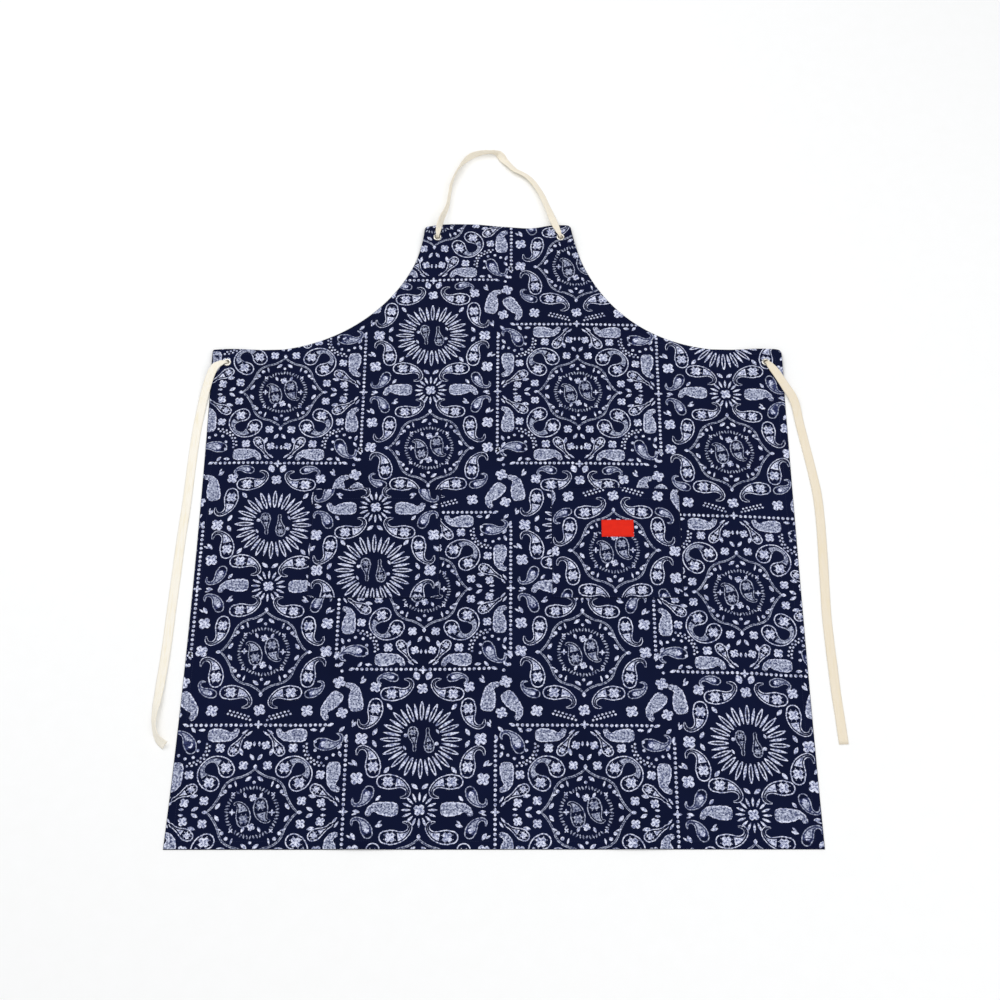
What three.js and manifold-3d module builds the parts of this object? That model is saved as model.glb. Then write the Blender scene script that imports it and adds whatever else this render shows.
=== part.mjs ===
// Long bib apron of printed cotton with tape straps, laid out face up on a flat surface.
// Millimetres, +Z up from the surface, +Y from the hem to the bib, +X to the viewer's right.
// The garment is built with the middle of its hem at zero and is centred as the last step.
import * as THREE from 'three';
import { mergeVertices } from 'three/addons/utils/BufferGeometryUtils.js';
import Module from 'manifold-3d';

const wasm = await Module();
wasm.setup();

// Walls and the gap between pieces that touch
const clothWall = 1.0;
const tapeWall = 1.2;
const gap = 0.3;

// Cut of the panel
const apronLength = 1022;
const skirtLength = 788;
const hemHalf = 442;
const waistHalf = 440;
const bibHalf = 118;
const cornerRound = 9;
const sideBow = { left: { x: -431, y: 330 }, right: { x: 438, y: 250 } };
const armhole = {
  end: { x: 332, y: 790.5 },
  left: { upper: { x: -122.5, y: 930.4 }, lower: { x: -195.9, y: 811.3 } },
  right: { upper: { x: 132.5, y: 927.8 }, lower: { x: 190.4, y: 808.5 } },
};
const bibTop = [
  [109, 1024.5], [85, 1024], [60, 1021.5], [4, 1025.5], [-44, 1030], [-84, 1026.5], [-109, 1022.5],
];

// As laid, the cloth leans: its rows run up a little to the right, and its hem lies this far down
const lie = { lean: 0.0051, drop: 2.25 };

// Eyelets near the corners of the bib and the waist
const eyelet = {
  bibLeft: -96.8, bibRight: 100.7, bibY: 1000, waistLeft: -415.8, waistRight: 414.3, waistY: 763.3,
};
const ring = { bore: 3.5, barrel: 4.1, front: 6.6, frontRise: 1.3, rimRound: 0.5, back: 5.6, backRise: 0.7 };
const roundSides = 16;
const curveSteps = 14;
const knot = { halfX: 9, halfY: 8, height: 4.5 };

// The cloth is held up over each knot on a small level patch, and slopes down around it
const patch = { half: 10, fringe: 26, slopeEnd: 62 };
const patchHeight = knot.height + 2 * gap + ring.backRise;

// Patch pockets and the label on the right one
const pocket = { inner: 81.5, outer: 271, bottom: 367.7, mouth: 543.7, columns: 10, rows: 9 };
const slack = { gape: 7, power: 1.3 };
const label = { x: 178, y: 477.2, width: 47, height: 27, columns: 4, rows: 3 };

// Soft rolls in the laid cloth: middle, direction of the crest from +Y, length, width and height
const folds = [
  { x: 4, y: 292, turn: -3, length: 560, width: 118, height: 4.5 },
  { x: -354, y: 412, turn: 4, length: 620, width: 130, height: 5.0 },
  { x: 358, y: 322, turn: -5, length: 560, width: 120, height: 4.0 },
  { x: -196, y: 116, turn: 10, length: 380, width: 130, height: 4.5 },
  { x: 205, y: 106, turn: -8, length: 360, width: 120, height: 4.0 },
  { x: 60, y: 682, turn: 82, length: 420, width: 110, height: 3.5 },
  { x: -20, y: 894, turn: 70, length: 210, width: 100, height: 3.5 },
];
const gridStep = 44;

// Tapes: centre line, height of the lower edge above the surface, width and roll about the line
const neckRoute = [
  { x: -96.8, y: 997.3, above: 4.9, width: 5, roll: 0 },
  { x: -96.7, y: 998, above: 7, width: 5, roll: 0 },
  { x: -96.4, y: 1000.2, above: 9, width: 5.5, roll: 4 },
  { x: -95.6, y: 1007.5, above: 9, width: 8.5, roll: 24 },
  { x: -93.4, y: 1018, above: 7.9, width: 12, roll: 44 },
  { x: -90.8, y: 1029, above: 6.4, width: 13, roll: 54 },
  { x: -86.4, y: 1043.6, above: 2.7, width: 13, roll: 62 },
  { x: -81.8, y: 1059.6, above: 0.9, width: 13, roll: 68 },
  { x: -79.2, y: 1079.8, above: 0.5, width: 13, roll: 70 },
  { x: -77.5, y: 1096, above: 0.4, width: 13, roll: 72 },
  { x: -75, y: 1109.2, above: 0.4, width: 13, roll: 76 },
  { x: -70.6, y: 1123.6, above: 0.4, width: 13, roll: 82 },
  { x: -65.4, y: 1135.9, above: 0.4, width: 13, roll: 86 },
  { x: -58.7, y: 1147.4, above: 0.4, width: 13, roll: 87 },
  { x: -51.4, y: 1156.2, above: 0.4, width: 13, roll: 86 },
  { x: -43.2, y: 1162.4, above: 0.4, width: 13, roll: 84 },
  { x: -34.2, y: 1166.6, above: 0.4, width: 13, roll: 86 },
  { x: -23.5, y: 1169.6, above: 0.4, width: 13, roll: 95 },
  { x: -13.6, y: 1170.4, above: 0.4, width: 13, roll: 98 },
  { x: -5, y: 1169, above: 0.5, width: 13, roll: 88 },
  { x: 3, y: 1164, above: 0.8, width: 13, roll: 48 },
  { x: 10.6, y: 1155.3, above: 0.6, width: 13, roll: -4 },
  { x: 19.5, y: 1144.1, above: 0.4, width: 13, roll: -15 },
  { x: 27.7, y: 1135.3, above: 0.3, width: 13, roll: -16 },
  { x: 36.4, y: 1129.9, above: 0.3, width: 13, roll: -17 },
  { x: 45.8, y: 1123.6, above: 0.3, width: 13, roll: -19 },
  { x: 55.6, y: 1112.7, above: 0.3, width: 13, roll: -19 },
  { x: 63.7, y: 1099.1, above: 0.3, width: 13, roll: -22 },
  { x: 70.9, y: 1084.8, above: 0.4, width: 13, roll: -24 },
  { x: 78.4, y: 1064.2, above: 0.8, width: 13, roll: -26 },
  { x: 84.6, y: 1046, above: 2.6, width: 13, roll: -22 },
  { x: 88.8, y: 1031, above: 6.2, width: 13, roll: -14 },
  { x: 92.6, y: 1020, above: 7.9, width: 11, roll: -6 },
  { x: 96.8, y: 1009, above: 9, width: 8.5, roll: 0 },
  { x: 99.6, y: 1001.3, above: 9, width: 5.5, roll: 0 },
  { x: 100.5, y: 999, above: 7, width: 5, roll: 0 },
  { x: 100.7, y: 998.3, above: 4.9, width: 5, roll: 0 },
];
const leftTieRoute = [
  { x: -415.8, y: 758.9, above: 4.9, width: 5, roll: 0 },
  { x: -416.6, y: 758.7, above: 7, width: 5, roll: 0 },
  { x: -419, y: 758, above: 9, width: 6, roll: 0 },
  { x: -425.2, y: 755.6, above: 9, width: 9.5, roll: 0 },
  { x: -432.6, y: 750.4, above: 8.5, width: 13, roll: 0 },
  { x: -437.8, y: 739.8, above: 7.5, width: 13, roll: 0 },
  { x: -441.6, y: 726.4, above: 5.6, width: 13, roll: 0 },
  { x: -445, y: 709.9, above: 3.4, width: 13, roll: 0 },
  { x: -447.6, y: 694.8, above: 1.8, width: 13, roll: 0 },
  { x: -449.7, y: 675.3, above: 0.8, width: 13, roll: 0 },
  { x: -451.6, y: 657.7, above: 0.4, width: 13, roll: 0 },
  { x: -453.2, y: 638.5, above: 0.2, width: 13, roll: 0 },
  { x: -454.4, y: 614, above: 0.2, width: 13, roll: 0 },
  { x: -456, y: 560, above: 0.2, width: 13, roll: 0 },
  { x: -457.4, y: 510, above: 0.2, width: 13, roll: 3 },
  { x: -460, y: 455, above: 0.2, width: 13, roll: 0 },
  { x: -461.6, y: 400, above: 0.2, width: 13, roll: 0 },
  { x: -463.3, y: 345, above: 0.2, width: 13, roll: 0 },
  { x: -464.8, y: 290, above: 0.2, width: 13, roll: 3 },
  { x: -467.6, y: 237, above: 0.3, width: 13, roll: 10 },
  { x: -469.8, y: 205, above: 0.4, width: 13, roll: 26 },
  { x: -471.2, y: 184, above: 0.5, width: 13, roll: 48 },
  { x: -470.2, y: 168, above: 0.4, width: 13, roll: 60 },
  { x: -466.2, y: 154.5, above: 0.4, width: 13, roll: 58 },
  { x: -460, y: 146, above: 0.4, width: 13, roll: 44 },
  { x: -452.5, y: 140.5, above: 0.4, width: 13, roll: 30 },
];
const rightTieRoute = [
  { x: 414.3, y: 763.2, above: 4.9, width: 5, roll: 0 },
  { x: 414.8, y: 762.6, above: 7, width: 5, roll: 0 },
  { x: 416.4, y: 760.6, above: 9, width: 7, roll: 0 },
  { x: 420.4, y: 755.2, above: 9, width: 11, roll: 0 },
  { x: 425.6, y: 747.6, above: 8.7, width: 13, roll: 0 },
  { x: 431.5, y: 737.6, above: 7.8, width: 13, roll: 0 },
  { x: 437.1, y: 727.6, above: 6.2, width: 13, roll: 4 },
  { x: 443.2, y: 716, above: 4.4, width: 13, roll: 10 },
  { x: 448.8, y: 706.2, above: 2.9, width: 13, roll: 16 },
  { x: 453.1, y: 695.1, above: 1.9, width: 13, roll: 12 },
  { x: 455.8, y: 683.6, above: 1.2, width: 13, roll: 4 },
  { x: 457.3, y: 670.4, above: 0.8, width: 13, roll: 0 },
  { x: 459, y: 656.3, above: 0.5, width: 13, roll: 0 },
  { x: 461.6, y: 638.9, above: 0.3, width: 13, roll: 0 },
  { x: 464.7, y: 618.1, above: 0.2, width: 13, roll: 0 },
  { x: 468.3, y: 594, above: 0.2, width: 13, roll: 0 },
  { x: 472, y: 567, above: 0.2, width: 13, roll: 0 },
  { x: 475.2, y: 538, above: 0.2, width: 13, roll: 3 },
  { x: 476.6, y: 500, above: 0.2, width: 13, roll: 0 },
  { x: 476.2, y: 459.7, above: 0.2, width: 13, roll: 0 },
  { x: 475, y: 420, above: 0.2, width: 13, roll: 4 },
  { x: 474, y: 380, above: 0.2, width: 13, roll: 0 },
  { x: 473, y: 340, above: 0.2, width: 13, roll: 0 },
  { x: 473.7, y: 300, above: 0.2, width: 13, roll: 0 },
  { x: 474.8, y: 260, above: 0.2, width: 13, roll: 3 },
  { x: 476.3, y: 220, above: 0.2, width: 13, roll: 0 },
  { x: 478.4, y: 185, above: 0.2, width: 13, roll: 0 },
  { x: 480.4, y: 147.5, above: 0.2, width: 13, roll: 0 },
];
const stepsPerPoint = 3;

const materials = {
  cotton: new THREE.MeshStandardMaterial({ color: 0x1b2140, roughness: 0.9 }),
  tape: new THREE.MeshStandardMaterial({ color: 0xf3ead2, roughness: 0.9 }),
  label: new THREE.MeshStandardMaterial({ color: 0xd8261c, roughness: 0.8 }),
  metal: new THREE.MeshStandardMaterial({ color: 0xe4e2de, roughness: 0.35, metalness: 0.9 }),
};

const corners = [
  { name: 'bib_left', x: eyelet.bibLeft, y: eyelet.bibY },
  { name: 'bib_right', x: eyelet.bibRight, y: eyelet.bibY },
  { name: 'waist_left', x: eyelet.waistLeft, y: eyelet.waistY },
  { name: 'waist_right', x: eyelet.waistRight, y: eyelet.waistY },
];

// Falls smoothly from 1 in the middle of a soft form to 0 at its rim
function swell(share) {
  const t = THREE.MathUtils.clamp(share, 0, 1);
  return Math.cos(t * Math.PI / 2) ** 2;
}

function foldHeight(fold, x, y) {
  const turn = THREE.MathUtils.degToRad(fold.turn);
  const dx = x - fold.x;
  const dy = y - fold.y;
  const across = dx * Math.cos(turn) + dy * Math.sin(turn);
  const along = dy * Math.cos(turn) - dx * Math.sin(turn);
  return fold.height * swell(Math.abs(across) / fold.width * 2) * swell(Math.abs(along) / fold.length * 2);
}

// Height of the panel's underside above the surface
function clothHeight(x, y) {
  let height = 0;
  for (const fold of folds) {
    height += foldHeight(fold, x, y);
  }
  const level = patch.half * Math.SQRT2;
  for (const corner of corners) {
    const distance = Math.hypot(x - corner.x, y - corner.y);
    height += patchHeight * swell((distance - level - gap) / (patch.slopeEnd - level));
  }
  return height;
}

// A closed sheet over a grid of columns and rows, where place(x, y) gives the low and high z of the wall
function sheet(columns, rows, place) {
  const grid = new THREE.PlaneGeometry(1, 1, columns.length - 1, rows.length - 1);
  const flat = grid.attributes.position;
  const across = columns.length;
  const points = [];
  for (const face of [1, 0]) {
    for (let i = 0; i < flat.count; i += 1) {
      const x = columns[i % across];
      const y = rows[rows.length - 1 - Math.floor(i / across)];
      points.push(x, y, place(x, y)[face]);
    }
  }
  const top = Array.from(grid.index.array);
  const below = top.map((i) => i + flat.count).reverse();
  const rim = [];
  const last = rows.length - 1;
  for (let c = 0; c < across; c += 1) {
    rim.push(c);
  }
  for (let r = 1; r <= last; r += 1) {
    rim.push(r * across + across - 1);
  }
  for (let c = across - 2; c >= 0; c -= 1) {
    rim.push(last * across + c);
  }
  for (let r = last - 1; r > 0; r -= 1) {
    rim.push(r * across);
  }
  const walls = [];
  rim.forEach((a, i) => {
    const b = rim[(i + 1) % rim.length];
    walls.push(a, b, b + flat.count, a, b + flat.count, a + flat.count);
  });
  const geometry = new THREE.BufferGeometry();
  geometry.setAttribute('position', new THREE.Float32BufferAttribute(points, 3));
  geometry.setIndex([...top, ...below, ...walls]);
  return geometry;
}

// Even stations from low to high, with extra ones where the form needs them
function stations(low, high, step, extra = []) {
  const count = Math.ceil((high - low) / step);
  const even = Array.from({ length: count + 1 }, (unused, i) => low + (high - low) * i / count);
  const inside = (i) => i > 0 && i < count;
  const crowded = (s) => extra.some((e) => Math.abs(e - s) < step / 4);
  const clear = even.filter((s, i) => !(inside(i) && crowded(s)));
  return [...clear, ...extra].sort((a, b) => a - b);
}

function solidOf(geometry) {
  const bare = geometry.clone();
  bare.deleteAttribute('normal');
  bare.deleteAttribute('uv');
  const merged = mergeVertices(bare, 1e-4);
  const vertProperties = new Float32Array(merged.attributes.position.array);
  const triVerts = new Uint32Array(merged.index.array);
  return new wasm.Manifold(new wasm.Mesh({ numProp: 3, vertProperties, triVerts }));
}

function geometryOf(solid) {
  const mesh = solid.getMesh();
  const geometry = new THREE.BufferGeometry();
  geometry.setAttribute('position', new THREE.BufferAttribute(mesh.vertProperties, 3));
  geometry.setIndex(new THREE.BufferAttribute(mesh.triVerts, 1));
  geometry.computeVertexNormals();
  return geometry;
}

// Cutting line of the panel, from the left end of the hem round by the bib
function panelOutline() {
  const shape = new THREE.Shape();
  shape.moveTo(-hemHalf, 0);
  shape.lineTo(hemHalf, 0);
  shape.quadraticCurveTo(sideBow.right.x, sideBow.right.y, waistHalf, skirtLength - cornerRound);
  shape.quadraticCurveTo(waistHalf, skirtLength, waistHalf - cornerRound, skirtLength);
  const { end, left, right } = armhole;
  shape.lineTo(end.x, end.y);
  const brow = bibTop.map(([x, y]) => new THREE.Vector2(x, y));
  const first = brow[0];
  const last = brow[brow.length - 1];
  const { lower, upper } = right;
  shape.bezierCurveTo(lower.x, lower.y, upper.x, upper.y, bibHalf, first.y - cornerRound);
  shape.quadraticCurveTo(bibHalf, first.y, first.x, first.y);
  shape.splineThru(brow.slice(1));
  shape.quadraticCurveTo(-bibHalf, last.y, -bibHalf, last.y - cornerRound);
  shape.bezierCurveTo(left.upper.x, left.upper.y, left.lower.x, left.lower.y, -end.x, end.y);
  shape.lineTo(cornerRound - waistHalf, skirtLength);
  shape.quadraticCurveTo(-waistHalf, skirtLength, -waistHalf, skirtLength - cornerRound);
  shape.quadraticCurveTo(sideBow.left.x, sideBow.left.y, -hemHalf, 0);
  return shape;
}

// The laid cloth, cut along the outline and punched for the eyelets
function panelGeometry() {
  const spare = 12;
  const cutHeight = 60;
  const around = [-patch.fringe, -patch.half, patch.half, patch.fringe];
  const extraColumns = corners.map((corner) => corner.x);
  const extraRows = [eyelet.waistY, eyelet.bibY];
  const columns = stations(
    -hemHalf - spare, hemHalf + spare, gridStep,
    extraColumns.flatMap((x) => around.map((d) => x + d)),
  );
  const rows = stations(
    -spare, apronLength + spare, gridStep,
    extraRows.flatMap((y) => around.map((d) => y + d)),
  );
  const laid = sheet(columns, rows, (x, y) => [clothHeight(x, y), clothHeight(x, y) + clothWall]);
  const outline = new THREE.ExtrudeGeometry(
    panelOutline(),
    { depth: cutHeight, curveSegments: curveSteps, bevelEnabled: false },
  );
  outline.translate(0, 0, -cutHeight / 2);
  let solid = solidOf(laid).intersect(solidOf(outline));
  for (const corner of corners) {
    const punch = new THREE.CylinderGeometry(ring.barrel + gap, ring.barrel + gap, cutHeight, roundSides);
    punch.rotateX(Math.PI / 2);
    punch.translate(corner.x, corner.y, 0);
    solid = solid.subtract(solidOf(punch));
  }
  return geometryOf(solid);
}

// How far the pocket's inner face stands off the panel: sewn flat at the sides and bottom, slack at the mouth
function pocketStand(x, y) {
  const middle = (pocket.inner + pocket.outer) / 2;
  const across = (Math.abs(x) - middle) / (pocket.outer - pocket.inner) * 2;
  const up = (y - pocket.bottom) / (pocket.mouth - pocket.bottom);
  return slack.gape * Math.cos(across * Math.PI / 2) * Math.max(up, 0) ** slack.power;
}

function pocketGeometry(side) {
  const edges = [side * pocket.inner, side * pocket.outer].sort((a, b) => a - b);
  const columns = stations(edges[0], edges[1], (pocket.outer - pocket.inner) / pocket.columns);
  const rows = stations(pocket.bottom, pocket.mouth, (pocket.mouth - pocket.bottom) / pocket.rows);
  return sheet(columns, rows, (x, y) => {
    const low = clothWall + gap + pocketStand(x, y);
    return [low, low + clothWall];
  });
}

function labelGeometry() {
  const columns = stations(label.x - label.width / 2, label.x + label.width / 2, label.width / label.columns);
  const rows = stations(label.y - label.height / 2, label.y + label.height / 2, label.height / label.rows);
  return sheet(columns, rows, (x, y) => {
    const low = 2 * (clothWall + gap) + pocketStand(x, y);
    return [low, low + clothWall];
  });
}

// Pressed eyelet: domed front flange, barrel through the cloth and a flat back flange
function eyeletGeometry() {
  const under = -gap - ring.backRise;
  const face = clothWall + gap;
  const profile = [
    [ring.bore, under], [ring.back, under], [ring.back, -gap], [ring.barrel, -gap],
    [ring.barrel, face], [ring.front, face],
    [ring.front - ring.rimRound, face + ring.frontRise - ring.rimRound],
    [(ring.front + ring.bore) / 2, face + ring.frontRise], [ring.bore, face + ring.rimRound],
    [ring.bore, under],
  ].map(([r, z]) => new THREE.Vector2(r, z));
  const geometry = new THREE.LatheGeometry(profile, roundSides);
  geometry.rotateX(Math.PI / 2);
  return geometry;
}

function knotGeometry() {
  const geometry = new THREE.SphereGeometry(1, 12, 8);
  geometry.scale(knot.halfX, knot.halfY, knot.height / 2);
  geometry.translate(0, 0, knot.height / 2);
  return geometry;
}

// Flat tape along a route, with rectangular ends and both broad faces split along the same diagonals
function tapeGeometry(route) {
  const points = route.map((p) => {
    const roll = THREE.MathUtils.degToRad(p.roll);
    const rest = (p.width * Math.abs(Math.sin(roll)) + tapeWall * Math.abs(Math.cos(roll))) / 2;
    return new THREE.Vector3(p.x, p.y, p.above + rest);
  });
  const curve = new THREE.CatmullRomCurve3(points, false, 'centripetal');
  const steps = (route.length - 1) * stepsPerPoint;
  const vertices = [];
  const faces = [];
  for (let s = 0; s <= steps; s += 1) {
    const at = s / steps;
    const row = Math.min(Math.floor(s / stepsPerPoint), route.length - 2);
    const share = THREE.MathUtils.smoothstep(s / stepsPerPoint - row, 0, 1);
    const half = THREE.MathUtils.lerp(route[row].width, route[row + 1].width, share) / 2;
    const roll = THREE.MathUtils.degToRad(THREE.MathUtils.lerp(route[row].roll, route[row + 1].roll, share));
    const along = curve.getTangent(at);
    const level = new THREE.Vector3(along.y, -along.x, 0).normalize();
    const side = level.applyAxisAngle(along, roll);
    const normal = new THREE.Vector3().crossVectors(side, along);
    const centre = curve.getPoint(at);
    for (const [w, n] of [[-1, -1], [1, -1], [1, 1], [-1, 1]]) {
      const v = centre.clone().addScaledVector(side, w * half).addScaledVector(normal, n * tapeWall / 2);
      vertices.push(v.x, v.y, v.z);
    }
  }
  for (let s = 0; s < steps; s += 1) {
    for (let k = 0; k < 4; k += 1) {
      const a = s * 4 + k;
      const b = s * 4 + (k + 1) % 4;
      if (k === 2) {
        faces.push(a, a + 4, b, b, a + 4, b + 4);
      } else {
        faces.push(a, b + 4, b, a, a + 4, b + 4);
      }
    }
  }
  const end = steps * 4;
  faces.push(0, 1, 2, 0, 2, 3, end, end + 2, end + 1, end, end + 3, end + 2);
  const geometry = new THREE.BufferGeometry();
  geometry.setAttribute('position', new THREE.Float32BufferAttribute(vertices, 3));
  geometry.setIndex(faces);
  return geometry;
}

const apron = new THREE.Group();

function piece(name, geometry, material) {
  geometry.computeVertexNormals();
  const mesh = new THREE.Mesh(geometry, material);
  mesh.name = name;
  apron.add(mesh);
  return mesh;
}

// The cloth and what is sewn on it, sheared and set down as they lie
function laidDown(geometry) {
  geometry.applyMatrix4(new THREE.Matrix4().makeShear(lie.lean, 0, 0, 0, 0, 0));
  return geometry.translate(0, -lie.drop, 0);
}

piece('apron_panel', laidDown(panelGeometry()), materials.cotton);
piece('pocket_left', laidDown(pocketGeometry(-1)), materials.cotton);
piece('pocket_right', laidDown(pocketGeometry(1)), materials.cotton);
piece('pocket_label', laidDown(labelGeometry()), materials.label);
for (const corner of corners) {
  const set = piece(`eyelet_${corner.name}`, eyeletGeometry(), materials.metal);
  const y = corner.y + lie.lean * corner.x - lie.drop;
  set.position.set(corner.x, y, patchHeight);
  const tied = piece(`knot_${corner.name}`, knotGeometry(), materials.tape);
  tied.position.set(corner.x, y, 0);
}
piece('neck_strap', tapeGeometry(neckRoute), materials.tape);

// The middle of the garment's length, straps to hem, goes over the origin
const reach = new THREE.Box3().setFromObject(apron);
piece('waist_tie_left', tapeGeometry(leftTieRoute), materials.tape);
piece('waist_tie_right', tapeGeometry(rightTieRoute), materials.tape);
apron.position.y = -(reach.min.y + reach.max.y) / 2;

export default apron;
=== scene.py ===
import math

import bpy
import numpy as np
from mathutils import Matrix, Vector
from mathutils.geometry import delaunay_2d_cdt


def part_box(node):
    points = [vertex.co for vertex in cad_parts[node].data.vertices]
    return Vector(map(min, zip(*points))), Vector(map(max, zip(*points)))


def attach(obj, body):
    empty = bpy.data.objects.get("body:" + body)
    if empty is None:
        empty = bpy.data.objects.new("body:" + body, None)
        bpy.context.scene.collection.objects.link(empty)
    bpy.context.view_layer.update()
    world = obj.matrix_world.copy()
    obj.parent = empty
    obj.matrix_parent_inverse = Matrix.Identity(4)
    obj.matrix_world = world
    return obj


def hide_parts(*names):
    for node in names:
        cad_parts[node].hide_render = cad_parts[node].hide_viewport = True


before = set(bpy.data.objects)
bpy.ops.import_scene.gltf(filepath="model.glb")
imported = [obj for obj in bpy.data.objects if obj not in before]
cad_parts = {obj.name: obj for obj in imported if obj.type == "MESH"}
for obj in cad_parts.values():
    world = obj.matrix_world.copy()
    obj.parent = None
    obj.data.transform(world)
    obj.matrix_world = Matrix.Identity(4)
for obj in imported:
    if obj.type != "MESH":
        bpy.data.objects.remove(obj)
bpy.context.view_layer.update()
mm = 0.001
lie = {"lean": 0.0051, "drop": 2.25, "hemHalf": 442}  # as laid, the cloth's rows run up a little to the right
# The cut is drawn in mm with the middle of its hem at zero
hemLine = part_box("apron_panel")[0][1] / mm + lie["drop"] + lie["lean"] * lie["hemHalf"]


def toFrame(points):  # millimetres from the hem to metres in the part's frame
    out = np.array(points, float)
    out[:, 1] += hemLine
    return out * mm


def laidDown(points):  # from the cut to how the cloth lies
    out = np.array(points, float)
    out[:, 1] += lie["lean"] * out[:, 0] - lie["drop"]
    return out


def linear(code):  # sRGB hex to linear colour
    parts = [int(code[i:i + 2], 16) / 255 for i in (1, 3, 5)]
    return [p / 12.92 if p <= 0.04045 else ((p + 0.055) / 1.055) ** 2.4 for p in parts] + [1.0]


def addNode(tree, kind, values=None, **settings):  # a node with its settings, socket values and links
    node = tree.nodes.new(kind)
    for name, value in settings.items():
        setattr(node, name, value)
    for socket, value in (values or {}).items():
        if isinstance(value, bpy.types.NodeSocket):
            tree.links.new(value, node.inputs[socket])
        else:
            node.inputs[socket].default_value = value
    return node


def startMaterial(name, roughness, **sockets):
    material = bpy.data.materials.new(name)
    material.use_nodes = True
    tree = material.node_tree
    shader = tree.nodes["Principled BSDF"]
    shader.inputs["Roughness"].default_value = roughness
    for socket, value in sockets.items():
        shader.inputs[socket.replace("_", " ")].default_value = value
    return material, tree, shader


def finishMaterial(tree, shader, colour, normal=None):
    tree.links.new(colour, shader.inputs["Base Color"])
    if normal is not None:
        tree.links.new(normal, shader.inputs["Normal"])


def addPiece(name, points, faces, materials, faceSlots=None, flatMap=False, cutOut=True):
    spots = toFrame(laidDown(points) if cutOut else points)
    mesh = bpy.data.meshes.new(name)
    mesh.from_pydata(spots.tolist(), [], faces)
    for material in materials:
        mesh.materials.append(material)
    if faceSlots is not None:
        mesh.polygons.foreach_set("material_index", np.array(faceSlots, np.int32))
    mesh.polygons.foreach_set("use_smooth", [True] * len(mesh.polygons))
    if flatMap:  # mapped as seen from above, so that a bake keeps the cloth's own layout
        layer = mesh.uv_layers.new(name="OFBake")
        corners = np.empty(len(mesh.loops), np.int32)
        mesh.loops.foreach_get("vertex_index", corners)
        low = spots[:, :2].min(0)
        span = (spots[:, :2].max(0) - low).max()
        layer.uv.foreach_set("vector", ((spots[corners, :2] - low) / span * 0.98 + 0.01).ravel())
    mesh.update()
    piece = bpy.data.objects.new(name, mesh)
    bpy.context.scene.collection.objects.link(piece)
    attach(piece, "root")
    return piece


# Camera, worked out from how the print's squares and the hem narrow with distance
view = {"foot": (10.9, -643.2), "height": 2227.5, "heading": 0.256, "down": 62.326, "focal": 61.21}
cameraData = bpy.data.cameras.new("apron_camera")
cameraData.lens = view["focal"]
cameraData.sensor_width = 36
cameraData.clip_start = 0.05
camera = bpy.data.objects.new("apron_camera", cameraData)
camera.location = toFrame([[*view["foot"], view["height"]]])[0]
camera.rotation_euler = (math.radians(90 - view["down"]), 0, math.radians(view["heading"]))
bpy.context.scene.collection.objects.link(camera)
bpy.context.scene.camera = camera
print("camera set")

# Tape: natural cotton, woven narrow as a herringbone twill, which gives matt cream with fine slanted ribs
tape = {
    "width": 13.0, "wall": 1.2, "pleat": 0.11, "pleats": 2.5, "thinEdge": 0.45, "perRow": 6, "across": 9,
    "cream": "#fffcf1", "shade": "#faf1e0", "warm": "#f8eed3", "rightTone": "#e6d3b1", "roughness": 0.9,
    "cell": 3.25,  # mm, one slant of the herringbone
    "relief": 0.35, "reliefDepth": 0.0004,  # strength and metres
    "rib": 1.6,  # mm, drawn over twice as coarse as the real 0.7 so that it shows
    "ribShade": 0.22, "clouds": 90.0, "patches": 22.0,  # clouds and patches to the metre
    "patchRange": (0.45, 0.75), "patchMost": 0.7,
    "rightRange": (-0.4, 0.45), "rightMost": 0.5,  # left to right in metres, the right tie is darker and warmer
}
# Routes: x, y, height of the lower edge, then width and roll about the line where the tape isn't flat
neckRoute = [
    (-96.8, 997.3, 4.9, 5, 0), (-96.7, 998, 7, 5, 0), (-96.4, 1000.2, 9, 5.5, 4), (-95.6, 1007.5, 9, 8.5, 24),
    (-93.4, 1018, 7.9, 12, 48), (-90.8, 1029, 6.4, 13, 60), (-86.4, 1043.6, 2.7, 13, 69),
    (-81.8, 1059.6, 0.9, 13, 74), (-79.2, 1079.8, 0.5, 13, 76), (-77.5, 1096, 0.4, 13, 78),
    (-75, 1109.2, 0.4, 13, 87), (-70.6, 1123.6, 0.4, 13, 95), (-65.4, 1135.9, 0.4, 13, 99),
    (-58.7, 1147.4, 0.4, 13, 90), (-51.4, 1156.2, 0.4, 13, 78), (-43.2, 1162.4, 0.4, 13, 77),
    (-34.2, 1166.6, 0.4, 13, 86), (-23.5, 1169.6, 0.4, 13, 99), (-13.6, 1170.4, 0.4, 13, 105),
    (-5, 1169, 0.5, 13, 94), (3, 1164, 0.8, 13, 46), (10.6, 1155.3, 0.6, 13, -12), (19.5, 1144.1, 0.4, 13, -27),
    (27.7, 1135.3, 0.3, 13, -30), (36.4, 1129.9, 0.3, 13, -31), (45.8, 1123.6, 0.3, 13, -31),
    (55.6, 1112.7, 0.3, 13, -31), (63.7, 1099.1, 0.3, 13, -33), (70.9, 1084.8, 0.4, 13, -34),
    (78.4, 1064.2, 0.8, 13, -34), (84.6, 1046, 2.6, 13, -28), (88.8, 1031, 6.2, 13, -18),
    (92.6, 1020, 7.9, 11, -6), (96.8, 1009, 9, 8.5, 0), (99.6, 1001.3, 9, 5.5, 0), (100.5, 999, 7, 5, 0),
    (100.7, 998.3, 4.9, 5, 0),
]
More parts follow.
